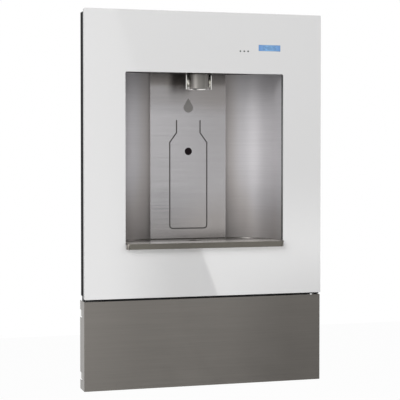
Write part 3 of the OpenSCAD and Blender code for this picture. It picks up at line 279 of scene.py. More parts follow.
def steel(name, tone, along, rough=0.3, grain=1.0, groove=None, smear=0.0, front=None,
          metal=1.0, painted_light=None):
    """Brushed stainless steel, whose lines run along x or z. Groove is the depth of a face whose
    cuts are etched dull and dark, the bottle's lines darkest as painted shadow in the slots. Smear
    spreads reflections across the lines, and front is the tone of faces to the front, a painted
    shade.
    The last argument paints light and shade: it gives the tone's share at a place, and a low share
    is also tinted warmer, as a painted reflection."""
    finish = Finish(name, metallic=metal, anisotropic=smear, anisotropic_rotation=0.25)
    place = finish.place()
    x, y, z = finish.parts(place)
    _, across, _ = finish.facing()
    fine_by, mid_by, broad_by = {
        "x": ((14, 14, 1500), (5, 5, 330), (2.5, 2.5, 40)),
        "z": ((1500, 1500, 14), (330, 330, 5), (40, 40, 2.5)),
    }[along]
    fine = finish.cloud(finish.stretched(place, fine_by), 1.0, 2.0)
    mid = finish.cloud(finish.stretched(place, mid_by), 1.0, 3.0)
    broad = finish.cloud(finish.stretched(place, broad_by), 1.0, 2.0)
    hands = finish.cloud(place, 22.0, 4.0, 0.6)
    amount = 1.0 + grain * (0.20 * (fine - 0.5) + 0.14 * (mid - 0.5) + 0.10 * (broad - 0.5))
    # Painted light and shade: the share darkens the steel by place, and a low share is tinted
    # warmer as a painted reflection
    if painted_light:
        share = painted_light(x, y, z)
        warm_shade = tuple(part * by for part, by in zip(tone, PAINTED_SHADE_WARMTH))
        tone = finish.mix(share.ramp(0.55, 0.95), warm_shade, tone)
    # Faces to the front take the front tone: painted shade and reflection on the sill's lip
    if front:
        tone = finish.mix((-across).ramp(0.75, 0.95), tone, front)
    colour = finish.shade(tone, amount + 0.05 * (hands - 0.5))
    roughness = rough + grain * (0.08 * (mid - 0.5) + 0.08 * (fine - 0.5)) + 0.08 * (hands - 0.5)
    # The painted light and shade go into the colour here
    if painted_light:
        colour = finish.shade(colour, share)
    if groove:
        cut = y.ramp(groove + 0.00020, groove + 0.00045) * (-across).ramp(0.5, 0.8)
        # The bottle's lines get a darker floor than the drop: painted shadow in the narrow slots
        over_bottle, under_drop = 0.155, 0.158
        floor = finish.mix(z.ramp(over_bottle, under_drop), look().cut_line_shadow, look().etched)
        colour = finish.mix(cut, colour, finish.shade(floor, amount))
        roughness = roughness + 0.22 * cut
    finish.set(base_color=colour, roughness=roughness)
    finish.relief(0.4 * mid + 0.6 * fine, 0.00004, 0.20 * grain)
    return finish


def galvanised(name="galvanised_sheet"):
    """Zinc-coated sheet with its spangle."""
    finish = Finish(name, metallic=0.9)
    place = finish.place()
    flakes = finish.node(
        "ShaderNodeTexVoronoi",
        values={"Vector": place, "Scale": 95.0, "Randomness": 1.0},
        output="Color",
    )
    red, green, _ = finish.parts(flakes)
    dust = finish.cloud(place, 16.0, 4.0)
    amount = 0.86 + 0.26 * red - 0.14 * dust.ramp(0.45, 0.75)
    finish.set(
        base_color=finish.shade((0.56, 0.57, 0.58), amount),
        roughness=0.36 + 0.22 * green + 0.10 * dust,
    )
    finish.relief(finish.cloud(place, 700.0, 2.0), 0.00005, 0.3)
    return finish


def powder(name, colour, rough=0.5, gloss=0.5):
    """Powder-coated sheet, with its orange peel and worn edges."""
    finish = Finish(name, specular_ior_level=gloss)
    place = finish.place()
    peel = finish.cloud(place, 850.0, 2.0)
    worn = finish.cloud(place, 40.0, 5.0).ramp(0.60, 0.78)
    finish.set(
        base_color=finish.mix(worn, colour, [c * 1.5 + 0.006 for c in colour]),
        roughness=rough + 0.16 * (peel - 0.5) + 0.10 * worn,
    )
    finish.relief(peel, 0.00012, 0.35)
    return finish


def moulded(name, colour, rough=0.42, speck=500.0):
    """Moulded plastic with a fine spark-eroded texture and faint flow marks."""
    finish = Finish(name)
    place = finish.place()
    skin = finish.cloud(place, speck, 2.0)
    flow = finish.cloud(finish.stretched(place, (1.0, 3.0, 9.0)), 9.0, 3.0, 0.5)
    finish.set(
        base_color=finish.shade(colour, 0.93 + 0.14 * flow),
        roughness=rough + 0.14 * (skin - 0.5) + 0.10 * (flow - 0.5),
    )
    finish.relief(skin, 0.00006, 0.3)
    return finish


def plated(name, tone, rough=0.3):
    """Machined and plated metal, with turning marks and dull patches."""
    finish = Finish(name, metallic=1.0)
    place = finish.place()
    marks = finish.cloud(place, 900.0, 2.0)
    dull = finish.cloud(place, 75.0, 4.0)
    finish.set(
        base_color=finish.shade(tone, 0.90 + 0.20 * dull),
        roughness=rough + 0.16 * (dull - 0.5) + 0.10 * (marks - 0.5),
    )
    finish.relief(marks, 0.00003, 0.3)
    return finish


def nozzle_steel():
    """Satin turned steel: fine lines run round the nozzle, and its sides are painted lighter than
    its middle, a painted reflection.
    """
    finish = Finish("nozzle_steel", metallic=1.0)
    place = finish.place()
    x, _, _ = finish.parts(place)
    # Painted reflection: lighter sides, darker middle
    sides = 0.72 + 0.75 * abs(x).ramp(0.004, 0.013)
    turned = finish.cloud(finish.stretched(place, (6, 6, 2200)), 1.0, 2.0)
    bands = finish.cloud(finish.stretched(place, (3, 3, 420)), 1.0, 2.0)
    drops = finish.cloud(place, 260.0, 2.0).ramp(0.62, 0.72)
    finish.set(
        base_color=finish.shade(
            look().nozzle_tone, sides * (0.88 + 0.12 * turned + 0.12 * bands)
        ),
        roughness=0.42 + 0.10 * bands + 0.08 * turned - 0.06 * drops,
    )
    finish.relief(turned, 0.00004, 0.35)
    return finish


def rubber(name, colour=(0.022, 0.022, 0.023)):
    """Soft rubber or foam, matt and slightly dusty."""
    finish = Finish(name)
    place = finish.place()
    pores = finish.cloud(place, 1300.0, 2.0)
    dust = finish.cloud(place, 60.0, 4.0).ramp(0.5, 0.8)
    finish.set(
        base_color=finish.mix(dust, colour, [c + 0.035 for c in colour]),
        roughness=0.72 + 0.18 * pores,
    )
    finish.relief(pores, 0.00008, 0.5)
    return finish


def sensor_glass():
    """The black window over the sensor."""
    finish = Finish("sensor_glass", specular_ior_level=0.10)
    place = finish.place()
    haze = finish.cloud(place, 160.0, 3.0)
    finish.set(base_color=finish.mix(haze, (0.004, 0.002, 0.003), (0.010, 0.004, 0.006)),
               roughness=0.12 + 0.08 * haze)
    return finish


def lit_screen():
    """The display's window: a blue backlight, paler in the middle, behind fine rows."""
    finish = Finish("lit_screen", coat_weight=0.6, coat_roughness=0.05)
    low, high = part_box("display_window")
    place = finish.place()
    x, _, z = finish.parts(place)
    middle = (low + high) / 2
    away = abs(x - middle.x) * (2.0 / (high.x - low.x))
    glow = 1.0 - away.ramp(0.1, 1.1)
    rows = finish.node(
        "ShaderNodeTexWave",
        {"wave_type": "BANDS", "bands_direction": "Z"},
        {"Vector": place, "Scale": 380.0, "Distortion": 0.0},
        output="Fac",
    )
    rim = abs(z - middle.z).ramp(0.44 * (high.z - low.z), 0.5 * (high.z - low.z))
    blue = finish.mix(glow, look().screen_edge, look().screen_middle)
    blue = finish.mix(rim, blue, [0.5 * c for c in look().screen_edge])
    finish.set(
        base_color=finish.shade(blue, 0.55),
        emission_color=finish.shade(blue, 0.94 + 0.06 * rows),
        emission_strength=0.42,
        roughness=0.16 + 0.08 * finish.cloud(place, 300.0, 2.0),
    )
    return finish


def lamp_lens(name, colour):
    """A small status lamp's smoked lens, unlit."""
    finish = Finish(name, specular_ior_level=0.3)
    cloud = finish.cloud(finish.place(), 900.0, 2.0)
    finish.set(base_color=finish.shade(colour, 0.8 + 0.4 * cloud), roughness=0.30 + 0.1 * cloud)
    return finish


def circuit(name="circuit_board"):
    """Green lacquered board with its tracks and soldered dots."""
    finish = Finish(name)
    place = finish.place()
    x, y, z = finish.parts(place)
    flat = finish.node("ShaderNodeCombineXYZ", values={0: x, 1: y + z, 2: 0.0})
    tracks = finish.node(
        "ShaderNodeTexBrick",
        {"offset": 0.37, "squash": 0.8, "squash_frequency": 3},
        {"Vector": flat, "Scale": 95.0, "Mortar Size": 0.035, "Mortar Smooth": 0.2},
        output="Fac",
    )
    dots = finish.node(
        "ShaderNodeTexVoronoi", values={"Vector": flat, "Scale": 190.0}, output="Distance"
    )
    pads = 1.0 - dots.ramp(0.10, 0.16)
    green = finish.mix(tracks, (0.010, 0.085, 0.035), (0.022, 0.165, 0.062))
    finish.set(
        base_color=finish.mix(pads, green, (0.52, 0.50, 0.45)),
        roughness=0.32 + 0.12 * finish.cloud(place, 200.0, 2.0),
        metallic=0.8 * pads,
    )
    finish.relief(tracks, 0.00004, 0.5)
    return finish


def wound_copper():
    """A transformer: lacquered plates, with the copper winding where it stands out."""
    finish = Finish("transformer_winding", metallic=0.6)
    low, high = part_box("transformer")
    half_stack = 0.0111
    place = finish.place()
    _, y, _ = finish.parts(place)
    plates = finish.cloud(finish.stretched(place, (4, 1600, 4)), 1.0, 2.0)
    wire = finish.cloud(finish.stretched(place, (4, 4, 1300)), 1.0, 2.0)
    coil = abs(y - (low.y + high.y) / 2).ramp(half_stack, half_stack + 0.0003)
    copper = finish.shade((0.62, 0.30, 0.13), 0.7 + 0.5 * wire)
    core = finish.shade((0.060, 0.060, 0.068), 0.6 + 0.8 * plates)
    finish.set(base_color=finish.mix(coil, core, copper), roughness=0.34 + 0.2 * plates)
    finish.relief(coil * wire + (1.0 - coil) * plates, 0.00015, 0.6)
    return finish


def water_tube(name, colour):
    """Smooth drawn plastic tube with faint length lines."""
    finish = Finish(name, coat_weight=0.25, coat_roughness=0.15)
    place = finish.place()
    lines = finish.cloud(finish.stretched(place, (700, 700, 5)), 1.0, 2.0)
    finish.set(
        base_color=finish.shade(colour, 0.92 + 0.14 * lines),
        roughness=0.27 + 0.12 * lines,
    )
    finish.relief(lines, 0.00003, 0.3)
    return finish


def split_tone(name, at, before, behind):
    """Two finishes of one solid, met at a depth: each is colour, metallic and roughness."""
    finish = Finish(name)
    place = finish.place()
    _, y, _ = finish.parts(place)
    over = y.ramp(at - 0.0001, at + 0.0001)
    skin = finish.cloud(place, 500.0, 2.0)
    worn = finish.cloud(place, 70.0, 4.0)
    tone = finish.mix(over, before[0], behind[0])
    finish.set(
        base_color=finish.shade(tone, 0.90 + 0.20 * worn),
        metallic=before[1] + (behind[1] - before[1]) * over,
        roughness=before[2] + (behind[2] - before[2]) * over + 0.14 * (skin - 0.5),
    )
    finish.relief(skin, 0.00005, 0.3)
    return finish


def look():
    """The colours of the open scene."""
    return bpy.context.scene.station_look


def sizes():
    """The sizes of the open scene."""
    return bpy.context.scene.station_sizes


def dress(finish, *nodes):
    """Gives the finish to every slot of these CAD nodes."""
    for name in nodes:
        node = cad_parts[name]
        if not node.material_slots:
            node.data.materials.append(finish.material)
        for slot in node.material_slots:
            slot.material = finish.material


def round_edges(made, width, angle):
    """Rounds the edges whose faces turn by more than the angle, with a modifier."""
    bevel = made.modifiers.new("soft_edges", "BEVEL")
    bevel.width = width
    bevel.segments = 2
    bevel.limit_method = "ANGLE"
    bevel.angle_limit = angle
    bevel.harden_normals = True


def soften(width, *nodes):
    """Rounds the sharp edges of CAD nodes with modifiers, which leave their own meshes alone."""
    for name in nodes:
        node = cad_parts[name]
        weld = node.modifiers.new("join_corners", "WELD")
        weld.merge_threshold = SAME_POINT
        round_edges(node, width, CORNER_ANGLE)


def in_scene(name, data):
    """A new object of this data, in the scene."""
    made = bpy.data.objects.new(name, data)
    bpy.context.scene.collection.objects.link(made)
    return made


def piece(name, build, finish, body="housing", edge=0.0):
    """Makes a piece from bmesh code, in the row frame, and lets it ride on its body."""
    mesh = bpy.data.meshes.new(name)
    shape = bmesh.new()
    build(shape)
    bmesh.ops.recalc_face_normals(shape, faces=shape.faces)
    shape.to_mesh(mesh)
    shape.free()
    mesh.materials.append(finish.material)
    for face in mesh.polygons:
        face.use_smooth = True
    mesh.set_sharp_from_angle(angle=SHARP_ANGLE)
    made = in_scene(name, mesh)
    if edge:
        round_edges(made, edge, SHARP_ANGLE)
    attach(made, body)
    return made


def add_plate(shape, outline, front, back):
    """A flat plate from an outline of (x, z) points, between two depths."""
    near = [shape.verts.new((x, front, z)) for x, z in outline]
    far = [shape.verts.new((x, back, z)) for x, z in outline]
    shape.faces.new(near)
    shape.faces.new(far[::-1])
    for i in range(len(outline)):
        j = (i + 1) % len(outline)
        shape.faces.new((near[i], far[i], far[j], near[j]))


def add_turned(shape, profile, matrix, steps=40):
    """A ring turned about Z from closed (radius, height) points, then placed by the matrix."""
    rings = []
    for radius, height in profile:
        rings.append([
            shape.verts.new(matrix @ Vector((
                radius * math.cos(math.tau * i / steps),
                radius * math.sin(math.tau * i / steps),
                height,
            )))
            for i in range(steps)
        ])
    for first, second in zip(rings, rings[1:] + rings[:1]):
        for i in range(steps):
            j = (i + 1) % steps
            shape.faces.new((first[i], first[j], second[j], second[i]))


def spring(name, node, wire, turns, finish):
    """A coil spring in place of its CAD node."""
    low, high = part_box(node)
    middle = (low + high) / 2
    radius = (high.x - low.x - wire) / 2
    rise = high.z - low.z - wire
    per_turn, sides = 28, 10
    count = turns * per_turn
    up = Vector((0.0, 0.0, 1.0))
    rounds = [math.tau * j / sides for j in range(sides)]

    def build(shape):
        rings = []
        for i in range(count + 1):
            turn = math.tau * i / per_turn
            out = Vector((math.cos(turn), math.sin(turn), 0.0))
            level = low.z + wire / 2 + rise * i / count
            centre = Vector((middle.x, middle.y, level)) + radius * out
            rings.append([
                shape.verts.new(centre + wire / 2 * (math.cos(a) * out + math.sin(a) * up))
                for a in rounds
            ])
        for first, second in zip(rings, rings[1:]):
            for j in range(sides):
                k = (j + 1) % sides
                shape.faces.new((first[j], first[k], second[k], second[j]))
        shape.faces.new(rings[0][::-1])
        shape.faces.new(rings[-1])

    made = piece(name, build, finish)
    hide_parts(node)
    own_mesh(made)


def along(axis, at):
    """A matrix that puts the Z axis of a turned piece along a row axis, at a point."""
    turn = {
        "x": Matrix.Rotation(math.pi / 2, 4, "Y"),
        "-x": Matrix.Rotation(-math.pi / 2, 4, "Y"),
        "z": Matrix.Identity(4),
        "-z": Matrix.Rotation(math.pi, 4, "X"),
    }[axis]
    return Matrix.Translation(at) @ turn


# The lit bars of each numeral: a, g and d lie flat, from the top, and the others stand
SEGMENTS = {
    "0": "abcdef", "1": "bc", "2": "abged", "3": "abgcd", "4": "fgbc",
    "5": "afgcd", "6": "afgedc", "7": "abc", "8": "abcdefg", "9": "abcdfg",
}


def add_digit(shape, digit, left, low, height, front, back):
    """One seven-segment numeral, leaning a little, as display numerals do."""
    wide, stroke, gap, lean = 0.54 * height, 0.13 * height, 0.06 * height, 0.10
    half, t = height / 2, stroke / 2
    bars = {
        "a": (0, height, 1), "g": (0, half, 1), "d": (0, 0, 1),
        "f": (0, half, 0), "b": (wide, half, 0), "e": (0, 0, 0), "c": (wide, 0, 0),
    }
    for name in SEGMENTS[digit]:
        x, z, flat = bars[name]
        long = wide if flat else half
        points = [(gap, 0), (gap + t, t), (long - gap - t, t), (long - gap, 0),
                  (long - gap - t, -t), (gap + t, -t)]
        if not flat:
            points = [(-b, a) for a, b in points]
        outline = [(left + x + a + lean * (z + b), low + z + b) for a, b in points]
        add_plate(shape, outline, front, back)


def colour(label, about, default):
    """A colour that the panel shows."""
    return bpy.props.FloatVectorProperty(
        name=label, description=about, default=default, subtype="COLOR", min=0.0, max=1.0
    )


def length(label, about, default, low, high):
    """A length that the panel shows, in metres."""
    return bpy.props.FloatProperty(
        name=label, description=about, default=default, min=low, max=high, unit="LENGTH"
    )


class StationLook(bpy.types.PropertyGroup):
    """Colours of the station's finishes."""

    glass_white: colour("Glass", "Paint behind the white glass", (0.654, 0.652, 0.652))
    column_tone: colour("Column", "Steel of the raised column", (0.485, 0.475, 0.485))
    liner_tone: colour("Liner", "Steel of the alcove's curved sides", (0.585, 0.572, 0.588))
    sill_tone: colour("Sill", "Steel of the sill and basin", (0.38, 0.365, 0.345))
    # The lip's front tone is painted shade and reflection, darker than the sill's steel
    lip_front_shade: colour("Lip", "Steel of the sill's lip, from the front", (0.046, 0.043, 0.037))
    door_tone: colour("Door", "Steel of the filter door", (0.215, 0.202, 0.186))
    nozzle_tone: colour("Nozzle", "Steel of the nozzle", (0.34, 0.326, 0.306))
    etched: colour("Etched drop", "Floor of the drop in the column", (0.28, 0.27, 0.262))
    # The bottle's lines are darker than the etched drop as painted shadow in the slots
    cut_line_shadow: colour("Cut lines", "Floor of the bottle's lines", (0.115, 0.110, 0.108))
    frame_black: colour("Frame", "Powder coat of the face frame", (0.014, 0.014, 0.015))
    screen_middle: colour("Screen", "Backlight in the middle", (0.205, 0.43, 0.74))
    screen_edge: colour("Screen edge", "Backlight at the edges", (0.125, 0.28, 0.58))
    numeral: colour("Numerals", "Numerals of the display", (0.02, 0.055, 0.16))


class StationSizes(bpy.types.PropertyGroup):
    """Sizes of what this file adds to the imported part."""

    numeral_height: length(
        "Numeral height", "Height of the display's numerals", 0.0062, 0.004, 0.008
    )
    arris: length("Glass edge", "Width of the glass's polished edge", 0.0008, 0.0002, 0.002)
    fold: length("Fold radius", "Rounding of folded sheet", 0.0006, 0.0001, 0.001)
    collar: length("Collar", "Width of the tubes' release collars", 0.0115, 0.009, 0.013)


class STATION_OT_front(bpy.types.Operator):
    """Finishes the glass, its frame, pads and gasket, and adds the strip behind the gap"""

    bl_idname = "station.front"
    bl_label = "Glass Front"

    def execute(self, context):
        dress(white_glass(), "glass_panel")
        soften(sizes().arris, "glass_panel")
        dress(powder("frame_coat", look().frame_black, 0.86, 0.10), "face_frame")
        soften(SHEET_EDGE, "face_frame")
        dress(rubber("pad_foam", (0.030, 0.030, 0.032)), "glass_pads")
        dress(rubber("window_rubber"), "window_gasket")
        self.gap_shade_strip()
        return {"FINISHED"}

    def gap_shade_strip(self):
        """A black strip glued behind the glass's lower edge closes the gap over the door: a dark
        sheet that stands in for the shade in the gap, as painted shade.
        """
        (left, _, _), (right, back, _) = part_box("glass_panel")
        over_door, under_frame, side, thick, edge = 0.0008, 0.0005, 0.0003, 0.0015, 0.0002
        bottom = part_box("door_pan")[1].z + over_door
        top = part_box("face_frame")[0].z - under_frame
        outline = ((left + side, bottom), (right - side, bottom), (right - side, top),
                   (left + side, top))

        def build(shape):
            add_plate(shape, outline, back, back + thick)

        piece("gap_shade_strip", build, rubber("strip_rubber"), edge=edge)


class STATION_OT_alcove(bpy.types.Operator):
    """Finishes the steel alcove, its column and ceiling, the sill and the sensor"""

    bl_idname = "station.alcove"
    bl_label = "Alcove"

    def execute(self, context):
        foot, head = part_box("alcove_column")
        _, sill_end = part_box("sill_tray")

        def liner_painted_light(x, y, z):
            """The liner's tone falls to the column and the floor, and rises at its right edge:
            painted shade by the column, painted shade and reflection of the sill towards the floor,
            and a painted highlight at the right.
            """
            column_shade = 0.64 + 0.36 * (abs(x) - head.x).ramp(0.0, 0.040)
            outer = 1.0 - 0.07 * x.ramp(0.070, 0.088) + 0.29 * x.ramp(0.108, 0.132)
            return column_shade * outer * (0.56 + 0.44 * z.ramp(foot.z, foot.z + 0.15))

        def middle(x, y, z):
            """The column's tone falls to its foot, its right and its top, and its edges are
            lighter: painted reflection and shade of the sill at the foot, painted reflection at the
            right, painted shadow under the ceiling at the top, and a painted highlight along the
            edges.
            """
            low = 0.70 + 0.30 * z.ramp(foot.z, foot.z + 0.12)
            # Painted highlight along the column's edges
            edge_highlight = abs(x).ramp(head.x - 0.0003, head.x - 0.0001)
            across = 1.07 - 0.19 * x.ramp(-0.055, 0.060)
            under = 1.0 - 0.24 * z.ramp(head.z - 0.085, head.z - 0.045)
            # Painted shadow under the ceiling
            ceiling_shadow = 1.0 - 0.34 * z.ramp(head.z - 0.027, head.z - 0.015)
            return (low + 0.8 * edge_highlight) * across * under * ceiling_shadow

        def rim(x, y, z):
            """The sill is lightest on its ledge, apart from the lip's round ends: a painted
            highlight on the ledge, and painted shade that dims the round ends.
            """
            ledge = (-y).ramp(0.007, 0.009)
            end = abs(x).ramp(sill_end.x - 0.007, sill_end.x - 0.005)
            return 0.92 - 0.30 * end + 1.90 * ledge * (1.0 - end)

        liner = steel("liner_steel", look().liner_tone, "x", 0.50, 0.8, metal=0.52, painted_light=liner_painted_light)
        dress(liner, "alcove_liner")
        column = steel("column_steel", look().column_tone, "x", 0.23, 1.1, foot.y, 0.7,
                       painted_light=middle)
        dress(column, "alcove_column")
        sill = steel("sill_steel", look().sill_tone, "x", 0.24, 0.7, front=look().lip_front_shade,
                     metal=0.75, painted_light=rim)
        dress(sill, "sill_tray")
        dress(powder("ceiling_coat", (0.035, 0.034, 0.036), 0.55), "alcove_ceiling")
        dress(sensor_glass(), "sensor_lens")
        dress(moulded("sensor_housing", (0.020, 0.020, 0.022)), "sensor_body")
        dress(plated("nut_plate", (0.62, 0.61, 0.58)), "column_nuts", "sensor_nut")
        soften(SHEET_EDGE, "alcove_column")
        soften(SILL_EDGE, "sill_tray")
        soften(MOULDED_EDGE, "sensor_lens")
        return {"FINISHED"}


class STATION_OT_outlet(bpy.types.Operator):
    """Finishes the nozzle, its guard and what feeds it"""

    bl_idname = "station.outlet"
    bl_label = "Outlet"

    def execute(self, context):
        dress(nozzle_steel(), "nozzle_body")
        dress(steel("guard_steel", (0.80, 0.79, 0.76), "z", 0.16, 0.5), "nozzle_guard")
        dress(moulded("aerator_plastic", (0.42, 0.42, 0.41), 0.35), "nozzle_aerator")
        dress(plated("outlet_nut_plate", (0.66, 0.64, 0.60)), "nozzle_nut")
        dress(moulded("elbow_plastic", (0.70, 0.70, 0.68)), "outlet_elbow")
        soften(THIN_EDGE, "nozzle_guard")
        soften(MOULDED_EDGE, "outlet_elbow")
        return {"FINISHED"}


class STATION_OT_display(bpy.types.Operator):
    """Lights the display, adds its numerals and finishes its carrier and board"""

    bl_idname = "station.display"
    bl_label = "Display"

    def execute(self, context):
        dress(lit_screen(), "display_window")
        dress(lamp_lens("smoked_lens", (0.060, 0.072, 0.066)), "status_lenses")
        dress(moulded("carrier_plastic", (0.055, 0.055, 0.060)), "display_carrier")
        dress(circuit("display_circuit"), "display_board")
        dress(moulded("module_case", (0.10, 0.11, 0.13), 0.35), "display_module")
        soften(MOULDED_EDGE, "display_carrier")
        self.numerals()
        return {"FINISHED"}

    def numerals(self):
        """A plain number stands on the display's window, in its middle."""
        low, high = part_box("display_window")
        height = sizes().numeral_height
        pitch, gap, lean = 0.82 * height, 0.28 * height, 0.05 * height
        left = (low.x + high.x) / 2 - (len(NUMERALS) * pitch - gap) / 2 - lean
        floor = (low.z + high.z) / 2 - height / 2
        front, back = low.y - 0.00006, low.y + 0.0001
        ink = Finish("numeral_ink")
        tint = ink.shade(look().numeral, 0.95 + 0.05 * ink.cloud(ink.place(), 2500.0, 1.0))
        ink.set(base_color=tint, roughness=0.4)

        def build(shape):
            for i, digit in enumerate(NUMERALS):
                add_digit(shape, digit, left + i * pitch, floor, height, front, back)

        piece("display_numerals", build, ink)


class STATION_OT_box(bpy.types.Operator):
    """Finishes the wall box, its grommets and the screws"""

    bl_idname = "station.box"
    bl_label = "Wall Box"

    def execute(self, context):
        dress(galvanised(), "wall_box", "valve_bracket", "filter_bracket")
        dress(rubber("grommet_rubber"), "wall_box_grommets")
        small = plated("screw_plate", (0.64, 0.63, 0.60))
        dress(small, "frame_screws", "hinge_pins", "strike_plates")
        soften(SHEET_EDGE, "wall_box", "valve_bracket", "filter_bracket")
        return {"FINISHED"}


class STATION_OT_plumbing(bpy.types.Operator):
    """Finishes valve, stop, filter, tubes and drain, and adds collars and the filter's band"""

    bl_idname = "station.plumbing"
    bl_label = "Plumbing"

    def execute(self, context):
        dress(moulded("valve_plastic", (0.62, 0.58, 0.50)), "valve_body")
        dress(moulded("coil_cover", (0.030, 0.030, 0.034), 0.36), "valve_coil")
        spring("valve_spring_coil", "valve_spring", wire=0.0007,
               turns=7, finish=plated("valve_spring_wire", (0.70, 0.69, 0.66), 0.22))
        dress(plated("plunger_steel", (0.56, 0.55, 0.53), 0.26), "valve_plunger")
        dress(plated("stop_brass", (0.74, 0.55, 0.27), 0.27), "shutoff_body")
        lever_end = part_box("shutoff_handle")[0].y + 0.006
        lever, stem = ((0.030, 0.095, 0.34), 0.0, 0.42), ((0.62, 0.61, 0.59), 1.0, 0.24)
        dress(split_tone("stop_handle", lever_end, lever, stem), "shutoff_handle")
        dress(moulded("head_plastic", (0.040, 0.085, 0.20), 0.40), "filter_head")
        dress(moulded("cartridge_plastic", (0.66, 0.67, 0.66), 0.36, 300.0), "filter_cartridge")
        dress(rubber("seal_rubber", (0.016, 0.016, 0.017)), "filter_o_rings", "drain_gasket")
        dress(water_tube("supply_blue", (0.035, 0.13, 0.44)), "supply_tube")
        dress(water_tube("milky_tube", (0.66, 0.70, 0.70)), "filtered_tube", "outlet_tube")
        dress(steel("strainer_steel", (0.22, 0.21, 0.20), "x", 0.32, 0.6), "drain_strainer")
        dress(plated("drain_chrome", (0.66, 0.66, 0.65), 0.18), "drain_body")
        dress(moulded("tail_plastic", (0.64, 0.64, 0.62), 0.34, 300.0), "drain_tailpiece")
        dress(moulded("slip_nut_plastic", (0.60, 0.60, 0.585), 0.40), "drain_slip_nut")
        soften(THICK_EDGE, "valve_body", "valve_coil", "filter_head", "drain_slip_nut")
        soften(MOULDED_EDGE, "shutoff_body", "shutoff_handle", "filter_cartridge")
        self.collars()
        self.band()
        return {"FINISHED"}

    def collars(self):
        """Release collars stand on the ports, round the tubes."""
        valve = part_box("valve_body")
        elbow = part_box("outlet_elbow")
        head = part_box("filter_head")
        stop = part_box("shutoff_body")
        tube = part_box("outlet_tube")
        level = (tube[0].z + tube[1].z) / 2
        depth = (tube[0].y + tube[1].y) / 2
        bore = (tube[1].z - tube[0].z) / 2
        lower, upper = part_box("supply_tube"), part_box("filtered_tube")
        stop_x, stop_y = (stop[0].x + stop[1].x) / 2, 0.036
        ports = [
            ("x", (valve[1].x, depth, level)), ("-x", (valve[0].x, depth, level)),
            ("x", (elbow[1].x, depth, level)),
            ("x", (head[1].x, depth, lower[1].z - bore)),
            ("x", (head[1].x, depth, upper[0].z + bore)),
            ("-z", (stop_x, stop_y, stop[0].z)),
        ]
        wide, neck, long = sizes().collar / 2, 0.82 * sizes().collar / 2, 0.0020
        inner, mouth = bore + 0.0001, bore + 0.0006
        profile = [
            (inner, 0.0), (neck, 0.0), (neck, long * 0.45), (wide, long * 0.5),
            (wide, long * 0.9), (wide - 0.0004, long), (mouth, long), (inner, long * 0.8),
        ]

        def build(shape):
            for axis, at in ports:
                add_turned(shape, profile, along(axis, at))

        piece("release_collars", build, moulded("collar_plastic", (0.12, 0.13, 0.15), 0.35))

    def band(self):
        """A plain band of film round the cartridge."""
        low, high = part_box("filter_cartridge")
        centre = Vector((0.0, (low.y + high.y) / 2, (low.z + high.z) / 2))
        radius = (high.z - low.z) / 2
        start, end = low.x + 0.050, low.x + 0.150
        under, over, slope = radius - 0.0001, radius + 0.00018, 0.0002
        profile = [
            (under, start), (over, start + slope), (over, end - slope), (under, end),
            (radius - 0.0004, (start + end) / 2),
        ]

        def build(shape):
            add_turned(shape, profile, along("x", centre), 96)

        sleeve = moulded("band_film", (0.055, 0.20, 0.42), 0.30, 900.0)
        piece("cartridge_band", build, sleeve, body="cartridge")


class STATION_OT_wiring(bpy.types.Operator):
    """Finishes the electric boxes, boards and leads, and adds ties along the leads"""

    bl_idname = "station.wiring"
    bl_label = "Wiring"

    def execute(self, context):
        dress(galvanised("power_sheet"), "power_box", "power_cover")
        dress(wound_copper(), "transformer")
        dress(powder("tray_coat", (0.062, 0.065, 0.070), 0.45), "control_tray", "control_lid")
        dress(circuit(), "control_board")
        dress(moulded("button_red", (0.50, 0.018, 0.020), 0.30), "reset_button")
        spring("button_spring_coil", "button_spring", wire=0.0005,
               turns=4, finish=plated("button_spring_wire", (0.70, 0.69, 0.66), 0.22))
        dress(water_tube("lead_sleeve", (0.026, 0.026, 0.028)), "harness")
        soften(MOULDED_EDGE, "control_tray", "control_lid")
        soften(THICK_EDGE, "reset_button")
        soften(THIN_EDGE, "power_box", "power_cover", "control_board", "transformer")
        self.ties()
        return {"FINISHED"}

    def ties(self):
        """Small nylon ties round the main lead, each with its head."""
        tray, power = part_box("control_tray"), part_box("power_box")
        lead = tray[0].x + 0.0128
        low, room = tray[1].z, power[0].z - tray[1].z
        heights = [low + room * share for share in (0.15, 0.4, 0.65, 0.9)]
        inner, outer = 0.00255, 0.0034
        ring = [(inner, 0.0), (outer, 0.0002), (outer, 0.0022), (inner, 0.0024)]
        left, right, front, back = lead - 0.0022, lead + 0.0022, -0.0062, -0.0030

        def build(shape):
            for z in heights:
                add_turned(shape, ring, along("z", (lead, 0.0, z)), 28)
                foot, head = z - 0.0006, z + 0.0030
                block = [(left, foot), (right, foot), (right, head), (left, head)]
                add_plate(shape, block, front, back)

        nylon = moulded("tie_nylon", (0.50, 0.50, 0.47), 0.38, 900.0)
        piece("lead_ties", build, nylon, edge=THIN_EDGE)


class STATION_OT_door(bpy.types.Operator):
    """Finishes the filter door, its stiffeners, hinges and catches"""

    bl_idname = "station.door"
    bl_label = "Filter Door"

    def execute(self, context):
        def panel(x, y, z):
            """The door is lightest at its middle, and darkest at its right: painted light and
            shade.
            """
            return 0.96 + 0.15 * x.ramp(-0.15, -0.01) - 0.23 * x.ramp(0.02, 0.17)

        sheet = steel("door_steel", look().door_tone, "x", 0.36, 0.8, smear=0.6, painted_light=panel)
        dress(sheet, "door_pan")
        dress(galvanised("stiffener_sheet"), "door_stiffener")
        dress(plated("hinge_plate", (0.42, 0.41, 0.39), 0.30), "hinge_ears", "hinge_brackets")
        dress(moulded("catch_plastic", (0.028, 0.028, 0.030)), "magnet_catches")
        soften(sizes().fold, "door_pan", "door_stiffener", "magnet_catches")
        soften(THIN_EDGE, "hinge_ears", "hinge_brackets", "strike_plates")
        return {"FINISHED"}


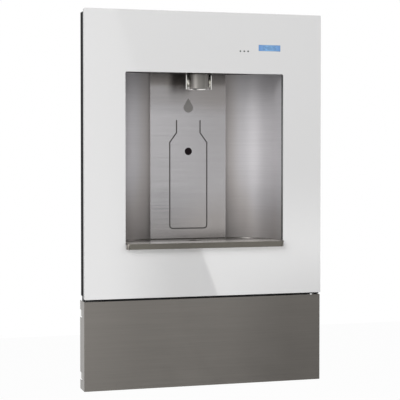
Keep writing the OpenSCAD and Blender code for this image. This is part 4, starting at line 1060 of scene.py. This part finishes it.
class STATION_OT_studio(bpy.types.Operator):
    """Makes the white surroundings, the floor, the reflected cards, the lamps and the camera"""

    bl_idname = "station.studio"
    bl_label = "Studio"

    def execute(self, context):
        self.surroundings()
        self.floor()
        self.cards()
        self.lamps()
        self.camera()
        return {"FINISHED"}

    def surroundings(self):
        """White all round, with the darker room in front that steel mirrors."""
        world = bpy.data.worlds.new("white_room")
        bpy.context.scene.world = world
        world.use_nodes = True
        nodes = Nodes(world.node_tree)
        _, ahead, up = nodes.parts(nodes.node("ShaderNodeTexCoord", output="Generated"))
        room = (-ahead).ramp(0.1, 0.8)
        low = (-up).ramp(-0.1, 0.5)
        strength = 0.50 + 0.50 * nodes.seen() - nodes.ray("Glossy") * room * (0.40 + 0.30 * low)
        background = world.node_tree.nodes["Background"]
        background.inputs["Color"].default_value = (1.0, 1.0, 1.0, 1.0)
        world.node_tree.links.new(strength.socket, background.inputs["Strength"])

    def flat(self, name, corners, material):
        """A flat piece of the studio, which isn't part of the station."""
        mesh = bpy.data.meshes.new(name)
        mesh.from_pydata(corners, [], [range(len(corners))])
        mesh.materials.append(material)
        made = in_scene(name, mesh)
        return made

    def floor(self):
        """A pale matt floor, well below the station, as below a wall unit."""
        pale = Finish("pale_floor")
        pale.tree.nodes.remove(pale.shader)
        matt = pale.node("ShaderNodeBsdfDiffuse", values={"Color": (0.80, 0.80, 0.80)})
        white = pale.node("ShaderNodeEmission", values={"Strength": 1.12})
        both = pale.node("ShaderNodeMixShader", values={0: 0.8 * pale.seen(), 1: matt, 2: white})
        pale.tree.links.new(both.socket, pale.end.inputs["Surface"])
        low, far = CAD_BOX[0].z - 1.25, 9.0
        corners = [(-far, -far, low), (far, -far, low), (far, far, low), (-far, far, low)]
        self.flat("floor", corners, pale.material)

    def cards(self):
        """Grey cards that only reflections see: they draw the slanting edge on the glass."""
        # The cards' y, and two points of the edge that they share, as x and z
        depth = -2.042
        top, foot = Vector((0.294, 0.561)), Vector((0.654, -0.411))
        run = (foot - top).normalized()
        above, below = top - 1.2 * run, foot + 0.9 * run
        left, right = Finish("left_card"), Finish("right_card")
        x, _, z = left.parts(left.place())
        near = x.ramp(0.24, 0.54)
        low = 1.0 - z.ramp(-0.40, 0.60)
        floor_side = 0.4 + 0.6 * z.ramp(-0.66, -0.42)
        left.shine(floor_side * (1.20 + 0.55 * low - near * (0.35 + 1.35 * low)))
        x, _, z = right.parts(right.place())
        low = 1.0 - z.ramp(-0.30, 0.05)
        floor_side = 0.4 + 0.6 * z.ramp(-0.66, -0.42)
        corner = (1.0 - z.ramp(-0.5, -0.2)) * x.ramp(0.4, 1.1)
        right.shine(floor_side * (0.80 + 0.95 * low) * (1.0 - 0.8 * corner))
        for name, finish, aside in (("left_card", left, -1.3), ("right_card", right, 1.6)):
            card = self.flat(name, [
                (above.x, depth, above.y), (below.x, depth, below.y),
                (below.x + aside, depth, below.y), (above.x + aside, depth, above.y),
            ], finish.material)
            card.visible_camera = False
            card.visible_diffuse = False
            card.visible_shadow = False

    def lamps(self):
        """Round soft lamps that point at the station. Only the side lamp shows in reflections."""
        for name, at, size, power in (
            ("key_lamp", (-1.9, -1.9, 1.5), 1.8, 42.0),
            ("side_lamp", (-2.3, -1.1, 0.7), 2.2, 15.0),
            ("fill_lamp", (1.9, -1.7, 0.9), 1.6, 16.0),
            ("rear_lamp", (0.9, 2.3, 1.6), 1.5, 26.0),
        ):
            data = bpy.data.lights.new(name, "AREA")
            data.shape = "DISK"
            data.size = size
            data.energy = power
            lamp = in_scene(name, data)
            lamp.location = at
            lamp.rotation_mode = "QUATERNION"
            lamp.rotation_quaternion = (-Vector(at)).to_track_quat("-Z", "Y")
            lamp.visible_glossy = name == "side_lamp"

    def camera(self):
        """The camera stands in front, to the left, a little above the station's middle."""
        turned_down, turned_right = math.radians(1.378), math.radians(16.72)
        data = bpy.data.cameras.new("camera")
        data.sensor_width = 36.0
        data.lens = 112.2
        data.shift_y = -0.045
        data.clip_start, data.clip_end = 0.05, 60.0
        made = in_scene("camera", data)
        made.location = (-0.646, -2.157, 0.084)
        made.rotation_euler = (math.pi / 2 - turned_down, 0.0, -turned_right)
        bpy.context.scene.camera = made


OPERATORS = (
    STATION_OT_front,
    STATION_OT_alcove,
    STATION_OT_outlet,
    STATION_OT_display,
    STATION_OT_box,
    STATION_OT_plumbing,
    STATION_OT_wiring,
    STATION_OT_door,
    STATION_OT_studio,
)


class STATION_PT_tools(bpy.types.Panel):
    """Shows the station's sizes and colours, and a button for each group of pieces"""

    bl_idname = "STATION_PT_tools"
    bl_label = "Filling Station"
    bl_space_type = "VIEW_3D"
    bl_region_type = "UI"
    bl_category = "Filling Station"

    def draw(self, context):
        for group in (sizes(), look()):
            column = self.layout.column(align=True)
            for name in group.__annotations__:
                column.prop(group, name)
        column = self.layout.column(align=True)
        for operator in OPERATORS:
            column.operator(operator.bl_idname)


CLASSES = (StationLook, StationSizes, *OPERATORS, STATION_PT_tools)


def register():
    for made in CLASSES:
        bpy.utils.register_class(made)
    bpy.types.Scene.station_look = bpy.props.PointerProperty(type=StationLook)
    bpy.types.Scene.station_sizes = bpy.props.PointerProperty(type=StationSizes)


def unregister():
    del bpy.types.Scene.station_sizes
    del bpy.types.Scene.station_look
    for made in reversed(CLASSES):
        bpy.utils.unregister_class(made)


def main():
    """Dresses the station."""
    register()
    bpy.context.scene.view_settings.view_transform = "Standard"
    for operator in OPERATORS:
        group, name = operator.bl_idname.split(".")
        getattr(getattr(bpy.ops, group), name)()


if __name__ == "__main__":
    main()
